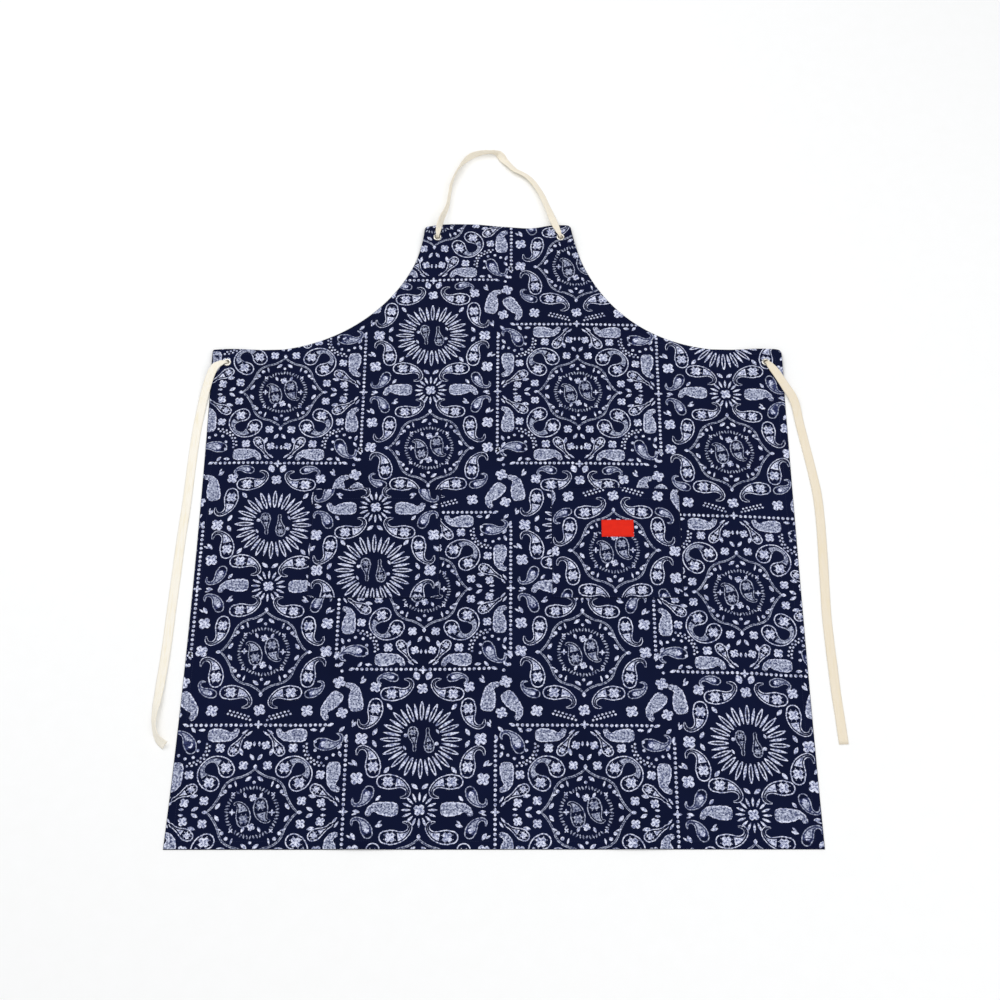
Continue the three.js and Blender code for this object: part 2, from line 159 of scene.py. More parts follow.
leftTieRoute = [
    (-415.8, 758.9, 4.9, 5, 0), (-416.6, 758.7, 7, 5, 0), (-419, 758, 9, 6, 0), (-425.2, 755.6, 9, 9.5, 0),
    (-432.6, 750.4, 8.5), (-437.8, 739.8, 7.5), (-441.6, 726.4, 5.6), (-445, 709.9, 3.4), (-447.6, 694.8, 1.8),
    (-449.7, 675.3, 0.8), (-451.6, 657.7, 0.4), (-453.2, 638.5, 0.2), (-454.4, 614, 0.2), (-456, 560, 0.2),
    (-457.4, 510, 0.2, 13, 3), (-460, 455, 0.2), (-461.6, 400, 0.2), (-463.3, 345, 0.2),
    (-464.8, 290, 0.2, 13, 3), (-467.6, 237, 0.3, 13, 10), (-469.8, 205, 0.4, 13, 26),
    (-471.2, 184, 0.5, 13, 48), (-470.2, 168, 0.4, 13, 60), (-466.2, 154.5, 0.4, 13, 58),
    (-460, 146, 0.4, 13, 44), (-452.5, 140.5, 0.4, 13, 30),
]
rightTieRoute = [
    (414.3, 763.2, 4.9, 5, 0), (414.8, 762.6, 7, 5, 0), (416.4, 760.6, 9, 7, 0), (420.4, 755.2, 9, 11, 0),
    (425.6, 747.6, 8.7), (431.5, 737.6, 7.8), (437.1, 727.6, 6.2, 13, 4), (443.2, 716, 4.4, 13, 10),
    (448.8, 706.2, 2.9, 13, 16), (453.1, 695.1, 1.9, 13, 12), (455.8, 683.6, 1.2, 13, 4), (457.3, 670.4, 0.8),
    (459, 656.3, 0.5), (461.6, 638.9, 0.3), (464.7, 618.1, 0.2), (468.3, 594, 0.2), (472, 567, 0.2),
    (475.2, 538, 0.2, 13, 3), (476.6, 500, 0.2), (476.2, 459.7, 0.2), (475, 420, 0.2, 13, 4), (474, 380, 0.2),
    (473, 340, 0.2), (473.7, 300, 0.2), (474.8, 260, 0.2, 13, 3), (476.3, 220, 0.2), (478.4, 185, 0.2),
    (480.4, 147.5, 0.2),
]

tapeCotton, tree, shader = startMaterial("cotton_tape_herringbone", tape["roughness"], Sheen_Weight=0.15)
where = addNode(tree, "ShaderNodeUVMap", uv_map="tape")  # across and along, in metres
axes = addNode(tree, "ShaderNodeSeparateXYZ", {0: where.outputs["UV"]})
chevron = addNode(tree, "ShaderNodeMath", {0: axes.outputs["X"], 1: tape["cell"] * mm}, operation="PINGPONG")
slant = addNode(tree, "ShaderNodeMath", {0: axes.outputs["Y"], 1: chevron.outputs[0]}, operation="ADD")
ribTurn = math.tau / (tape["rib"] * mm)
phase = addNode(tree, "ShaderNodeMath", {0: slant.outputs[0], 1: ribTurn}, operation="MULTIPLY")
ribs = addNode(tree, "ShaderNodeMath", {0: phase.outputs[0]}, operation="SINE")
cloud = addNode(tree, "ShaderNodeTexNoise", {"Scale": tape["clouds"], "Detail": 3.0})
# Painted shade: the ribs' hollows lean to the shade colour and their crests to the cream, and the clouds shift the
# tone at random
depth = addNode(tree, "ShaderNodeMath", {0: ribs.outputs[0], 1: tape["ribShade"], 2: cloud.outputs["Fac"]},
                operation="MULTIPLY_ADD")
tone = addNode(tree, "ShaderNodeMix", {0: depth.outputs[0], 6: linear(tape["shade"]), 7: linear(tape["cream"])},
               data_type="RGBA")
bump = addNode(tree, "ShaderNodeBump", {
    "Strength": tape["relief"], "Distance": tape["reliefDepth"], "Height": ribs.outputs[0]})
drift = addNode(tree, "ShaderNodeTexNoise", {"Scale": tape["patches"], "Detail": 1.0})
low, high = tape["patchRange"]
patchy = addNode(tree, "ShaderNodeMapRange", {"Value": drift.outputs["Fac"], "From Min": low, "From Max": high,
                                              "To Max": tape["patchMost"]})
aged = addNode(tree, "ShaderNodeMix", {0: patchy.outputs[0], 6: tone.outputs[2], 7: linear(tape["warm"])},
               data_type="RGBA")
# Darker and warmer towards the right, by a tone mixed in across the frame from left to right
where = addNode(tree, "ShaderNodeTexCoord")
axes = addNode(tree, "ShaderNodeSeparateXYZ", {0: where.outputs["Object"]})
low, high = tape["rightRange"]
rightward = addNode(tree, "ShaderNodeMapRange", {"Value": axes.outputs["X"], "From Min": low, "From Max": high,
                                            "To Max": tape["rightMost"]})
toRight = addNode(tree, "ShaderNodeMix", {0: rightward.outputs[0], 6: aged.outputs[2], 7: linear(tape["rightTone"])},
                 data_type="RGBA")
finishMaterial(tree, shader, toRight.outputs[2], bump.outputs["Normal"])


def smoothLine(rows, perRow):  # centripetal curve through rows of x, y, z, with the other columns eased between
    rows = np.array(rows, float)
    ends = np.vstack([2 * rows[0] - rows[1], rows, 2 * rows[-1] - rows[-2]])
    out = []
    for i in range(1, len(ends) - 2):
        a, b, c, d = ends[i - 1:i + 3]
        s0, s1, s2 = (max(np.linalg.norm((q - p)[:3]), 1e-6) ** 0.5 for p, q in ((a, b), (b, c), (c, d)))
        t1 = ((b - a) / s0 - (c - a) / (s0 + s1) + (c - b) / s1) * s1
        t2 = ((c - b) / s1 - (d - b) / (s1 + s2) + (d - c) / s2) * s1
        for k in range(perRow + (i == len(ends) - 3)):
            t = k / perRow
            p = b + t1 * t + (3 * c - 3 * b - 2 * t1 - t2) * t * t + (2 * b - 2 * c + t1 + t2) * t ** 3
            ease = t * t * (3 - 2 * t)
            out.append(np.r_[p[:3], (b + (c - b) * ease)[3:]])
    return np.array(out)


def runAlong(line):  # distance from the start of a line at each of its points
    return np.r_[0, np.cumsum(np.linalg.norm(np.diff(line, axis=0), axis=1))]


def mapTape(piece, flat):  # the weave runs along the tape
    layer = piece.data.uv_layers.new(name="tape")
    corners = np.empty(len(piece.data.loops), np.int32)
    piece.data.loops.foreach_get("vertex_index", corners)
    layer.uv.foreach_set("vector", flat[corners].ravel())


def makeTape(name, route):
    rows = np.array([(*row, tape["width"], 0)[:5] for row in route], float)
    roll = np.radians(rows[:, 4])
    rows[:, 2] += (rows[:, 3] * np.abs(np.sin(roll)) + tape["wall"] * np.abs(np.cos(roll))) / 2
    line = smoothLine(rows, tape["perRow"])
    centre, width, roll = line[:, :3], line[:, 3], np.radians(line[:, 4])
    along = np.gradient(centre, axis=0)
    along /= np.linalg.norm(along, axis=1)[:, None]
    level = np.c_[along[:, 1], -along[:, 0], np.zeros(len(line))]
    level /= np.linalg.norm(level, axis=1)[:, None]
    side = level * np.cos(roll)[:, None] + np.cross(along, level) * np.sin(roll)[:, None]
    up = np.cross(side, along)
    run = runAlong(centre)
    u = np.linspace(-1, 1, tape["across"])
    # Gathered where it goes through an eyelet, and thinner at the selvedges
    pleat = tape["pleat"] * (tape["width"] - width)[:, None] * np.cos(tape["pleats"] * math.pi * u)[None, :]
    thick = tape["wall"] / 2 * (1 - tape["thinEdge"] * np.abs(u) ** 10)
    points, maps = [], []
    for face in (1, -1):  # across on the upper side and back on the lower one
        order = u[::face]
        rise = pleat[:, ::face] + face * thick[None, ::face]
        spot = centre[:, None] + side[:, None] * (order[None, :, None] * width[:, None, None] / 2)
        points.append(spot + up[:, None] * rise[..., None])
        across = np.broadcast_to((order + 1) * tape["width"] / 2, rise.shape)
        maps.append(np.stack([across, np.broadcast_to(run[:, None], rise.shape)], -1))
    loops = np.concatenate(points, 1)
    flat = np.concatenate(maps, 1).reshape(-1, 2) * mm
    count = loops.shape[1]
    faces = []
    for s in range(len(line) - 1):
        for k in range(count):
            a, b = s * count + k, s * count + (k + 1) % count
            faces.append((a, a + count, b + count, b))
    last = (len(line) - 1) * count
    for k in range(count // 2 - 1):  # cut ends
        faces.append((k, k + 1, count - 2 - k, count - 1 - k))
        faces.append((last + k, last + count - 1 - k, last + count - 2 - k, last + k + 1))
    piece = addPiece(name + "_tape", loops.reshape(-1, 3), faces, [tapeCotton], cutOut=False)
    mapTape(piece, flat)
    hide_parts(name)
    return piece, centre, run[-1]


for name, route in (("waist_tie_left", leftTieRoute), ("waist_tie_right", rightTieRoute)):
    tie, centre, length = makeTape(name, route)
    path = toFrame(centre)
    print(name, round(length), "mm")
_, _, length = makeTape("neck_strap", neckRoute)  # held at both ends, so not a free cord
print("neck_strap", round(length), "mm")

# Cut of the panel and how it lies
panel = {
    "length": 1030, "skirt": 788, "hemHalf": lie["hemHalf"], "waistHalf": 440, "bibHalf": 118,
    "corner": 9, "cornerLeft": 4, "bowLeft": (-431, 330), "bowRight": (438, 250), "armholeEnd": (332, 790.5),
    "armholeLeft": ((-122.5, 930.4), (-195.9, 811.3)), "armholeRight": ((190.4, 808.5), (132.5, 927.8)),
    "bibTop": [(109, 1024.5), (85, 1024), (60, 1021.5), (4, 1025.5), (-44, 1030), (-84, 1026.5), (-109, 1022.5)],
    "wall": 1.0, "hem": 13.0, "hemRise": 0.28, "hemStep": (10.5, 14.5), "edgeRound": 1.4, "thinEdge": 0.4,
    "step": 9.0, "clear": 5.0, "midHem": 5.5, "slack": 0.15,  # spacing of the mesh
    "eyeletRows": (8.0, 12.0), "eyeletClear": 15.0, "eyeletSides": 24,
}
eyelets = {
    "bib_left": (-96.8, 1000), "bib_right": (100.7, 1000),
    "waist_left": (-415.8, 763.3), "waist_right": (414.3, 763.3),
}
ring = {
    "bore": 3.5, "barrel": 4.1, "front": 6.6, "back": 5.6, "backRise": 0.7, "frontRise": 1.3, "gap": 0.3,
    "seat": 0.05, "sides": 40, "domeRows": 11,
}
knot = {
    "height": 4.5, "spanX": 6.6, "spanY": 5.8, "strandHalf": 2.3, "strandRise": 0.7, "stations": 72, "sides": 10,
}
patch = {"half": 10.0, "slopeEnd": 62.0, "height": knot["height"] + 2 * ring["gap"] + ring["backRise"]}
# Soft rolls: x, y, direction of the crest, length, width, height
folds = [
    (4, 292, -3, 560, 118, 4.5), (-354, 412, 4, 620, 130, 5.0), (358, 322, -5, 560, 120, 4.0),
    (-196, 116, 10, 380, 130, 4.5), (205, 106, -8, 360, 120, 4.0), (60, 682, 82, 420, 110, 3.5),
    (-20, 894, 70, 210, 100, 3.5),
]


def swell(share):
    return np.cos(np.clip(share, 0, 1) * math.pi / 2) ** 2


def clothLift(x, y):  # underside of the panel above the floor
    lift = np.zeros_like(x)
    for fx, fy, turn, length, width, height in folds:
        c, s = math.cos(math.radians(turn)), math.sin(math.radians(turn))
        across = (x - fx) * c + (y - fy) * s
        run = (y - fy) * c - (x - fx) * s
        lift += height * swell(np.abs(across) / width * 2) * swell(np.abs(run) / length * 2)
    level = patch["half"] * math.sqrt(2)
    slope = patch["slopeEnd"] - level
    for ex, ey in eyelets.values():
        lift += patch["height"] * swell((np.hypot(x - ex, y - ey) - level - ring["gap"]) / slope)
    return lift


def bend(points, count):  # points of a Bezier of any order, without the last one
    t = np.linspace(0, 1, count, endpoint=False)[:, None]
    level = [np.array(p, float)[None, :] for p in points]
    while len(level) > 1:
        level = [a + (b - a) * t for a, b in zip(level, level[1:])]
    return level[0]


def panelCut():
    p = panel
    hem, w, b, r, q, waist = p["hemHalf"], p["waistHalf"], p["bibHalf"], p["corner"], p["cornerLeft"], p["skirt"]
    end, mirrorEnd = p["armholeEnd"], (-p["armholeEnd"][0], p["armholeEnd"][1])
    right, left = p["bibTop"][0], p["bibTop"][-1]
    return np.vstack([
        bend([(-hem, 0), (hem, 0)], 160),
        bend([(hem, 0), p["bowRight"], (w, waist - r)], 140),
        bend([(w, waist - r), (w, waist), (w - r, waist)], 5),
        bend([(w - r, waist), end], 18),
        bend([end, *p["armholeRight"], (b, right[1] - r)], 64),
        bend([(b, right[1] - r), (b, right[1]), right], 5),
        smoothLine([(x, y, 0) for x, y in p["bibTop"]], 7)[:-1, :2],
        bend([left, (-b, left[1]), (-b, left[1] - r)], 5),
        bend([(-b, left[1] - r), *p["armholeLeft"], mirrorEnd], 64),
        bend([mirrorEnd, (q - w, waist)], 18),
        bend([(q - w, waist), (-w, waist), (-w, waist - q)], 5),
        bend([(-w, waist - q), p["bowLeft"], (-hem, 0)], 140),
    ])


cut = panelCut()


def leftSteps(line):  # unit steps to the left of a closed line, which is inwards where it runs anticlockwise
    back = np.roll(line, 1, axis=0) - np.roll(line, -1, axis=0)
    return np.c_[back[:, 1], -back[:, 0]] / np.linalg.norm(back, axis=1)[:, None]


def edgeDistance(points):  # distance inside the cutting line, negative outside
    a, b = cut, np.roll(cut, -1, axis=0)
    span = b - a
    size = (span ** 2).sum(1)
    out = np.empty(len(points))
    batch = 4000  # points at a time, to keep the arrays small
    for low in range(0, len(points), batch):
        p = points[low:low + batch]
        rel = p[:, None] - a[None]
        t = np.clip((rel * span[None]).sum(2) / size[None], 0, 1)
        near = np.sqrt(((rel - t[..., None] * span[None]) ** 2).sum(2).min(1))
        spans = (a[None, :, 1] > p[:, None, 1]) != (b[None, :, 1] > p[:, None, 1])
        rise = np.where(span[:, 1] == 0, 1e-9, span[:, 1])
        cross = a[None, :, 0] + (p[:, None, 1] - a[None, :, 1]) / rise[None] * span[None, :, 0]
        inside = (spans & (cross > p[:, None, 0])).sum(1) % 2 == 1
        out[low:low + batch] = np.where(inside, near, -near)
    return out


def ramp(value, low, high):
    t = np.clip((value - low) / (high - low), 0, 1)
    return t * t * (3 - 2 * t)


def roundedEdge(inside, reach, least):  # share of the full wall, which thins at the very edge
    return least + (1 - least) * np.sqrt(np.clip(inside / reach, 0, 1))


def panelTop(x, y, inside):  # upper face, thicker over the turned hem
    wall = panel["wall"] + panel["hemRise"] * (1 - ramp(inside, *panel["hemStep"]))
    return clothLift(x, y) + wall * roundedEdge(inside, panel["edgeRound"], panel["thinEdge"])


def panelHeight(p):
    return panelTop(p[:, 0], p[:, 1], np.maximum(edgeDistance(p), 0))


# Cloth: cotton percale, dyed navy and plain woven, which gives a matt dark ground with a faint nap
cloth = {
    "navy": "#060b22", "worn": "#0f1738", "roughness": 0.92, "weaveShade": 0.12, "clouds": 7.0,  # to the metre
    "thread": 1.4,  # mm, the real one is near 0.4 and would not show
    "relief": 0.25, "reliefDepth": 0.0004,
}


def weave(tree):  # the cloth's own place, with the height and the relief of a plain weave there
    where = addNode(tree, "ShaderNodeTexCoord")
    axes = addNode(tree, "ShaderNodeSeparateXYZ", {0: where.outputs["Object"]})
    turn = math.pi / (cloth["thread"] * mm)
    waves = []
    for axis in ("X", "Y"):
        phase = addNode(tree, "ShaderNodeMath", {0: axes.outputs[axis], 1: turn}, operation="MULTIPLY")
        waves.append(addNode(tree, "ShaderNodeMath", {0: phase.outputs[0]}, operation="SINE").outputs[0])
    height = addNode(tree, "ShaderNodeMath", {0: waves[0], 1: waves[1]}, operation="MULTIPLY").outputs[0]
    bump = addNode(tree, "ShaderNodeBump", {
        "Strength": cloth["relief"], "Distance": cloth["reliefDepth"], "Height": height})
    return where.outputs["Object"], height, bump.outputs["Normal"]


groundCotton, tree, shader = startMaterial(
    "cotton_percale_dyed", cloth["roughness"], Sheen_Weight=0.02, Sheen_Roughness=0.5, Specular_IOR_Level=0.06)
spot, height, relief = weave(tree)
cloud = addNode(tree, "ShaderNodeTexNoise", {"Vector": spot, "Scale": cloth["clouds"], "Detail": 6.0,
                                             "Roughness": 0.6})
# Painted shade and light: the weave's hollows lean to the navy and its crests to the lighter worn colour, and the
# clouds shift the tone at random
weaveShadeAndClouds = addNode(tree, "ShaderNodeMath", {0: height, 1: cloth["weaveShade"], 2: cloud.outputs["Fac"]},
                operation="MULTIPLY_ADD")
tone = addNode(tree, "ShaderNodeMix", {0: weaveShadeAndClouds.outputs[0], 6: linear(cloth["navy"]), 7: linear(cloth["worn"])},
               data_type="RGBA")
finishMaterial(tree, shader, tone.outputs[2], relief)

# Ink: white pigment, screen printed, which lies on the threads as a soft slightly blue white with thin places
ink = {
    "full": ("#e9edff", "#6c749a"), "thin": ("#bcc2d6", "#3e466a"), "tint": ("#39416a", "#161c3e"),
    "roughness": 0.85, "blotch": 2.4, "coverRange": (0.36, 0.63),
    "rise": (0.28, 0.24, 0.2, 0.32),  # full, thin and tint coats, and tint laid over the others
}
inks = []
for kind in ("full", "thin", "tint"):
    material, tree, shader = startMaterial("pigment_ink_" + kind, ink["roughness"], Specular_IOR_Level=0.1)
    spot, height, relief = weave(tree)
    blotch = addNode(tree, "ShaderNodeTexNoise", {"Vector": spot, "Scale": 1 / (ink["blotch"] * mm), "Detail": 2.0})
    low, high = ink["coverRange"]
    cover = addNode(tree, "ShaderNodeMapRange", {"Value": blotch.outputs["Fac"], "From Min": low, "From Max": high})
    bright, worn = (linear(code) for code in ink[kind])
    tone = addNode(tree, "ShaderNodeMix", {0: cover.outputs[0], 6: worn, 7: bright}, data_type="RGBA")
    finishMaterial(tree, shader, tone.outputs[2], relief)
    inks.append(material)


def closeSheet(name, top, low, faces, materials):  # two faces of a cloth and the wall round every free edge
    count = len(top)
    used = {}
    for f in faces:
        for a, b in zip(f, f[1:] + f[:1]):
            used[(a, b)] = True
    walls = [(b, a, a + count, b + count) for a, b in used if (b, a) not in used]
    under = [tuple(i + count for i in reversed(f)) for f in faces]
    return addPiece(name, np.vstack([top, low]), [tuple(f) for f in faces] + under + walls, materials, flatMap=True)


def makePanel():
    half, step, edge = panel["hemHalf"], panel["step"], panel["edgeRound"]
    grid = np.stack(np.meshgrid(np.arange(-half, half, step), np.arange(0, panel["length"], step)), -1)
    grid = grid.reshape(-1, 2)
    loose = [grid[edgeDistance(grid) > panel["hem"] + panel["clear"]]]
    for inset in (edge / 2, edge, panel["midHem"], *panel["hemStep"]):
        row = cut + leftSteps(cut) * inset
        loose.append(row[edgeDistance(row) > inset - panel["slack"]])
    free = np.vstack(loose)
    around = np.linspace(0, math.tau, panel["eyeletSides"], endpoint=False)
    loops = [cut]
    for ex, ey in eyelets.values():
        for radius in (ring["barrel"] + ring["gap"], *panel["eyeletRows"]):
            loops.append(np.c_[ex + radius * np.cos(around), ey + radius * np.sin(around)])
        free = free[np.hypot(free[:, 0] - ex, free[:, 1] - ey) > panel["eyeletClear"]]
    spots, edges = [], []
    for loop in loops:
        start = sum(len(s) for s in spots)
        edges += [(start + i, start + (i + 1) % len(loop)) for i in range(len(loop))]
        spots.append(loop)
    flat = np.vstack(spots + [free])
    verts, _, faces, *_ = delaunay_2d_cdt([Vector(p) for p in flat], edges, [], 0, 1e-4)
    verts = np.array([v[:] for v in verts])
    middle = np.array([verts[list(f)].mean(0) for f in faces])
    kept = edgeDistance(middle) > 0
    for ex, ey in eyelets.values():
        kept &= np.hypot(middle[:, 0] - ex, middle[:, 1] - ey) > ring["barrel"] + ring["gap"] * 0.5
    faces = [list(f) for f, k in zip(faces, kept) if k]
    x, y = verts.T
    top = panelTop(x, y, np.maximum(edgeDistance(verts), 0))
    return closeSheet("apron_panel_cloth", np.c_[verts, top], np.c_[verts, clothLift(x, y)], faces, [groundCotton])


panelPiece = makePanel()
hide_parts("apron_panel")
print("panel", len(panelPiece.data.polygons), "faces")

# Pockets, sewn flat at the sides and bottom and slack at the mouth
pocket = {
    "inner": 81.5, "outer": 271, "bottom": 367.7, "mouth": 543.7, "gap": 0.1, "gape": 7, "power": 1.3,
    "turned": 9, "mouthHem": 20, "rise": 0.22, "hemFade": (0.85, 1.15), "thinEdge": 0.35,
    "step": 4.5, "edgeRows": (0.35, 1.4),
}


def pocketEdges(x, y):  # distances inside the three sewn edges and the mouth
    side = np.minimum(np.abs(x) - pocket["inner"], pocket["outer"] - np.abs(x))
    return np.minimum(side, y - pocket["bottom"]), pocket["mouth"] - y


def pocketLow(x, y):
    middle = (pocket["inner"] + pocket["outer"]) / 2
    across = np.clip((np.abs(x) - middle) / (pocket["outer"] - pocket["inner"]) * 2, -1, 1)
    up = np.clip((y - pocket["bottom"]) / (pocket["mouth"] - pocket["bottom"]), 0, 1)
    return panel["wall"] + pocket["gap"] + pocket["gape"] * np.cos(across * math.pi / 2) * up ** pocket["power"]


def pocketTop(x, y):
    sewn, mouth = pocketEdges(x, y)
    turned = 1 - ramp(np.minimum(sewn / pocket["turned"], mouth / pocket["mouthHem"]), *pocket["hemFade"])
    wall = panel["wall"] + pocket["rise"] * turned
    return pocketLow(x, y) + wall * roundedEdge(np.minimum(sewn, mouth), panel["edgeRound"], pocket["thinEdge"])


def pocketHeight(p):
    return pocketTop(p[:, 0], p[:, 1])


def spread(low, high, step, extra):  # even stations with close ones at both ends
    count = round((high - low) / step)
    return np.unique(np.r_[np.linspace(low, high, count + 1), [low + e for e in extra], [high - e for e in extra]])


def gridSheet(xs, ys):  # points of a grid and the faces between them
    x, y = (g.ravel() for g in np.meshgrid(xs, ys))
    n = len(xs)
    faces = [[r * n + c + k for k in (0, 1, n + 1, n)] for r in range(len(ys) - 1) for c in range(n - 1)]
    return x, y, faces


def makePocket(name, side):
    xs = np.sort(side * spread(pocket["inner"], pocket["outer"], pocket["step"], pocket["edgeRows"]))
    ys = spread(pocket["bottom"], pocket["mouth"], pocket["step"], pocket["edgeRows"])
    x, y, faces = gridSheet(xs, ys)
    top, low = np.c_[x, y, pocketTop(x, y)], np.c_[x, y, pocketLow(x, y)]
    piece = closeSheet(name + "_cloth", top, low, faces, [groundCotton])
    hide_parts(name)
    return piece


pocketPieces = [makePocket("pocket_left", -1), makePocket("pocket_right", 1)]
print("pockets")

# The print: a bandana half-drop of a square block and a tall block, drawn from a few motifs
pattern = {
    "line": 1.6, "gap": 1.6, "margin": 0.7, "eyeletRoom": 1.0,
    "column": 225.5, "drop": 661.9, "squareAt": (-101.3, 382.0), "tallAt": (-101.3, 709.1),
}
# Spines of the leaf-like motifs, head first: x, y, half width
spines = {
    "boteh": [
        (0, 6, 9.8), (0, 0, 11.1), (0.2, -6, 10.5), (0.6, -11, 9.2), (2, -17, 7.2), (5, -22.4, 5),
        (9.6, -26.6, 3.7), (14.2, -28, 3.4), (18.8, -26.6, 3), (21.4, -22.6, 2.5), (22.2, -17, 1),
    ],
    "heart": [
        (37.5, 61, 11.3), (40.5, 67.4, 10.6), (46.3, 73, 8.2), (53, 76.2, 5.4), (60.6, 75.4, 3.8),
        (66.8, 71, 3.2), (71.2, 64.6, 3.8), (72.4, 57, 5.4), (69.2, 50, 8.2), (63.4, 44.4, 10.6),
        (57, 41.5, 11.3),
    ],
    "comma": [
        (0, 5, 9.6), (0, 0, 10.8), (0.3, -6, 10.4), (1.2, -11.5, 9), (3.4, -16.5, 6.8), (6.8, -20, 4.6),
        (10.6, -21, 2.8), (13.4, -19.4, 1),
    ],
    "drop": [
        (0, 1.5, 5.6), (0, -1.5, 6.4), (-0.3, -6, 5.2), (-0.8, -11, 3), (-1, -16, 1.9), (-0.8, -20, 2.2),
        (-0.6, -22.5, 1.1),
    ],
    "blob": [
        (0, 10.4, 0.4), (0, 10, 5), (0, 8, 8), (0, 4, 9.9), (0, -2, 10.4), (-0.4, -8, 9.9), (-1, -13.5, 9),
        (-1.8, -18.5, 7.8), (-1.6, -23, 6.2), (0.4, -27, 5), (3.6, -29.8, 4.2), (7, -31, 4), (9.4, -31.3, 3),
        (10.4, -31.4, 0.4),
    ],
}


def spineRows(kind, size, count=3):
    rows = np.array(spines[kind], float) * size
    padded = np.c_[rows[:, :2], np.zeros(len(rows)), rows[:, 2]]
    line = smoothLine(padded, count)
    along = np.gradient(line[:, :2], axis=0)
    along /= np.linalg.norm(along, axis=1)[:, None]
    return line[:, :2], np.c_[-along[:, 1], along[:, 0]], line[:, 3]


def spineLoop(spot, across, half, grow, capped=False):  # closed line at a set distance inside the motif's edge
    half = np.maximum(half + grow, 0.02)[:, None]
    turn = np.linspace(0, math.pi, 9)[1:-1, None]
    behind = np.array([-across[0, 1], across[0, 0]])
    rows = [
        (spot + across * half)[::-1],
        spot[0] + half[0] * (np.cos(turn) * across[0] + np.sin(turn) * behind),
        spot - across * half,
    ]
    if capped:
        ahead = np.array([across[-1, 1], -across[-1, 0]])
        rows.append(spot[-1] + half[-1] * (np.sin(turn) * ahead - np.cos(turn) * across[-1]))
    return np.vstack(rows)


def ladder(rows, closed=False):  # faces between lines of equal length
    lines = len(rows)
    n = len(rows[0])
    faces = []
    for k in range(lines - 1):
        for i in range(n if closed else n - 1):
            j = (i + 1) % n
            faces.append((k * n + i, k * n + j, (k + 1) * n + j, (k + 1) * n + i))
    return np.vstack(rows), faces


def fan(outline):
    n = len(outline)
    return np.vstack([outline.mean(0), outline]), [(0, 1 + i, 1 + (i + 1) % n) for i in range(n)]


def roundel(points, lobes, depth, size, turn=0):
    a = np.linspace(0, math.tau, points, endpoint=False)
    r = size / 2 * (1 - depth + depth * np.cos(lobes * a))
    return np.c_[r * np.cos(a + turn), r * np.sin(a + turn)]


def leafShape(length, width, stations=6):
    t = np.linspace(0, 1, stations)
    half = width / 2 * np.sin(np.clip(t, 0.03, 0.97) * math.pi) ** 0.75
    y = (t - 0.5) * length
    return ladder([np.c_[-half, y], np.c_[half, y]])


def moved(points, x, y, turn=0.0, flip=False):
    c, s = math.cos(math.radians(turn)), math.sin(math.radians(turn))
    px = -points[:, 0] if flip else points[:, 0]
    return np.c_[x + px * c - points[:, 1] * s, y + px * s + points[:, 1] * c]


def spoke(x, y, radius, angle):  # place round a middle, by the angle from straight up
    a = math.radians(angle)
    return x - radius * math.sin(a), y + radius * math.cos(a)


# A motif's parts are points, faces and ink, by its place in the list of rises
def flower(size, spot=(0, 0)):  # four notched petals with dark veins between them
    a = np.linspace(0, math.tau, 32, endpoint=False)
    lobe = np.abs(np.sin(2 * a))
    r = size / 2 * (0.6 + 0.5 * lobe ** 0.9 - 0.12 * lobe ** 12)
    parts = [(*fan(spot + np.c_[r * np.cos(a), r * np.sin(a)]), 0)]
    vein, faces = leafShape(size * 0.28, size * 0.06, 4)
    for turn in (45, 135, 225, 315):
        parts.append((moved(vein, *spoke(*spot, size * 0.25, turn), turn), faces, 3))
    return parts


def head(spot, half):  # a flower in a ring of seeds, in the round end of a motif
    size = (half - pattern["line"] - pattern["gap"] * 0.8) * 1.9
    parts = flower(size, spot)
    ringed = (half - pattern["line"] + size / 2) / 2 + 0.2
    for a in np.arange(0.35, 6.2, 0.785):
        parts.append((*fan(spot + ringed * np.array((math.cos(a), math.sin(a))) + roundel(5, 1, 0, 1.3)), 0))
    return parts


def outlined(kind, size):  # a line round the motif, worn at its hook, with a flower and a worn body
    spot, across, half = spineRows(kind, size, 2)
    count = len(spot)
    capped = kind == "heart"
    taper = np.linspace(1, 1 if capped else 0.55, count)
    outer = spineLoop(spot, across, half, 0, capped)
    inner = spineLoop(spot, across, half, -pattern["line"] * taper, capped)
    points, faces = ladder([outer, inner], True)
    bare = range(round(count * 0.34))
    hook = {"boteh": bare, "comma": bare, "drop": (), "heart": range(count + 10, 2 * count + 4)}[kind]
    parts = [(points, [f for i, f in enumerate(faces) if (i in hook) == worn], int(worn)) for worn in (False, True)]
    if capped:
        reach = np.maximum(half - pattern["line"] - 0.4, 0.05)
        band = [spot - across * reach[:, None], spot + across * (half * 0.24)[:, None]]
        parts.append((*ladder([row[4:-4] for row in band]), 1))
        for k in range(5, count - 5):
            seed = spot[k] + across[k] * half[k] * (0.3 if k % 2 else -0.3)
            parts.append((*fan(seed + roundel(6, 1, 0, max(half[k] * 0.34, 1))), 3))
        return parts + head(spot[1], half[1]) + head(spot[-2], half[-2])
    room = np.maximum(half - pattern["line"] - pattern["gap"], 0.05)
    body = [spot + across * (room * s)[:, None] for s in (-1, 1)]
    first, seat = {"boteh": (6, 2), "comma": (5, 1), "drop": (4, 1)}[kind]
    parts.append((*ladder([row[first:first + 5] for row in body]), 0))
    parts.append((*ladder([row[first + 4:-3] for row in body]), 1))
    for k in range(first + 1, count - 6, 2):  # dark seeds down the body
        seed = spot[k] + across[k] * half[k] * (0.16 if k % 4 else -0.16)
        parts.append((*fan(seed + roundel(6, 1, 0, max(half[k] * 0.3, 0.8))), 3))
    return parts + head(spot[seat], half[seat])


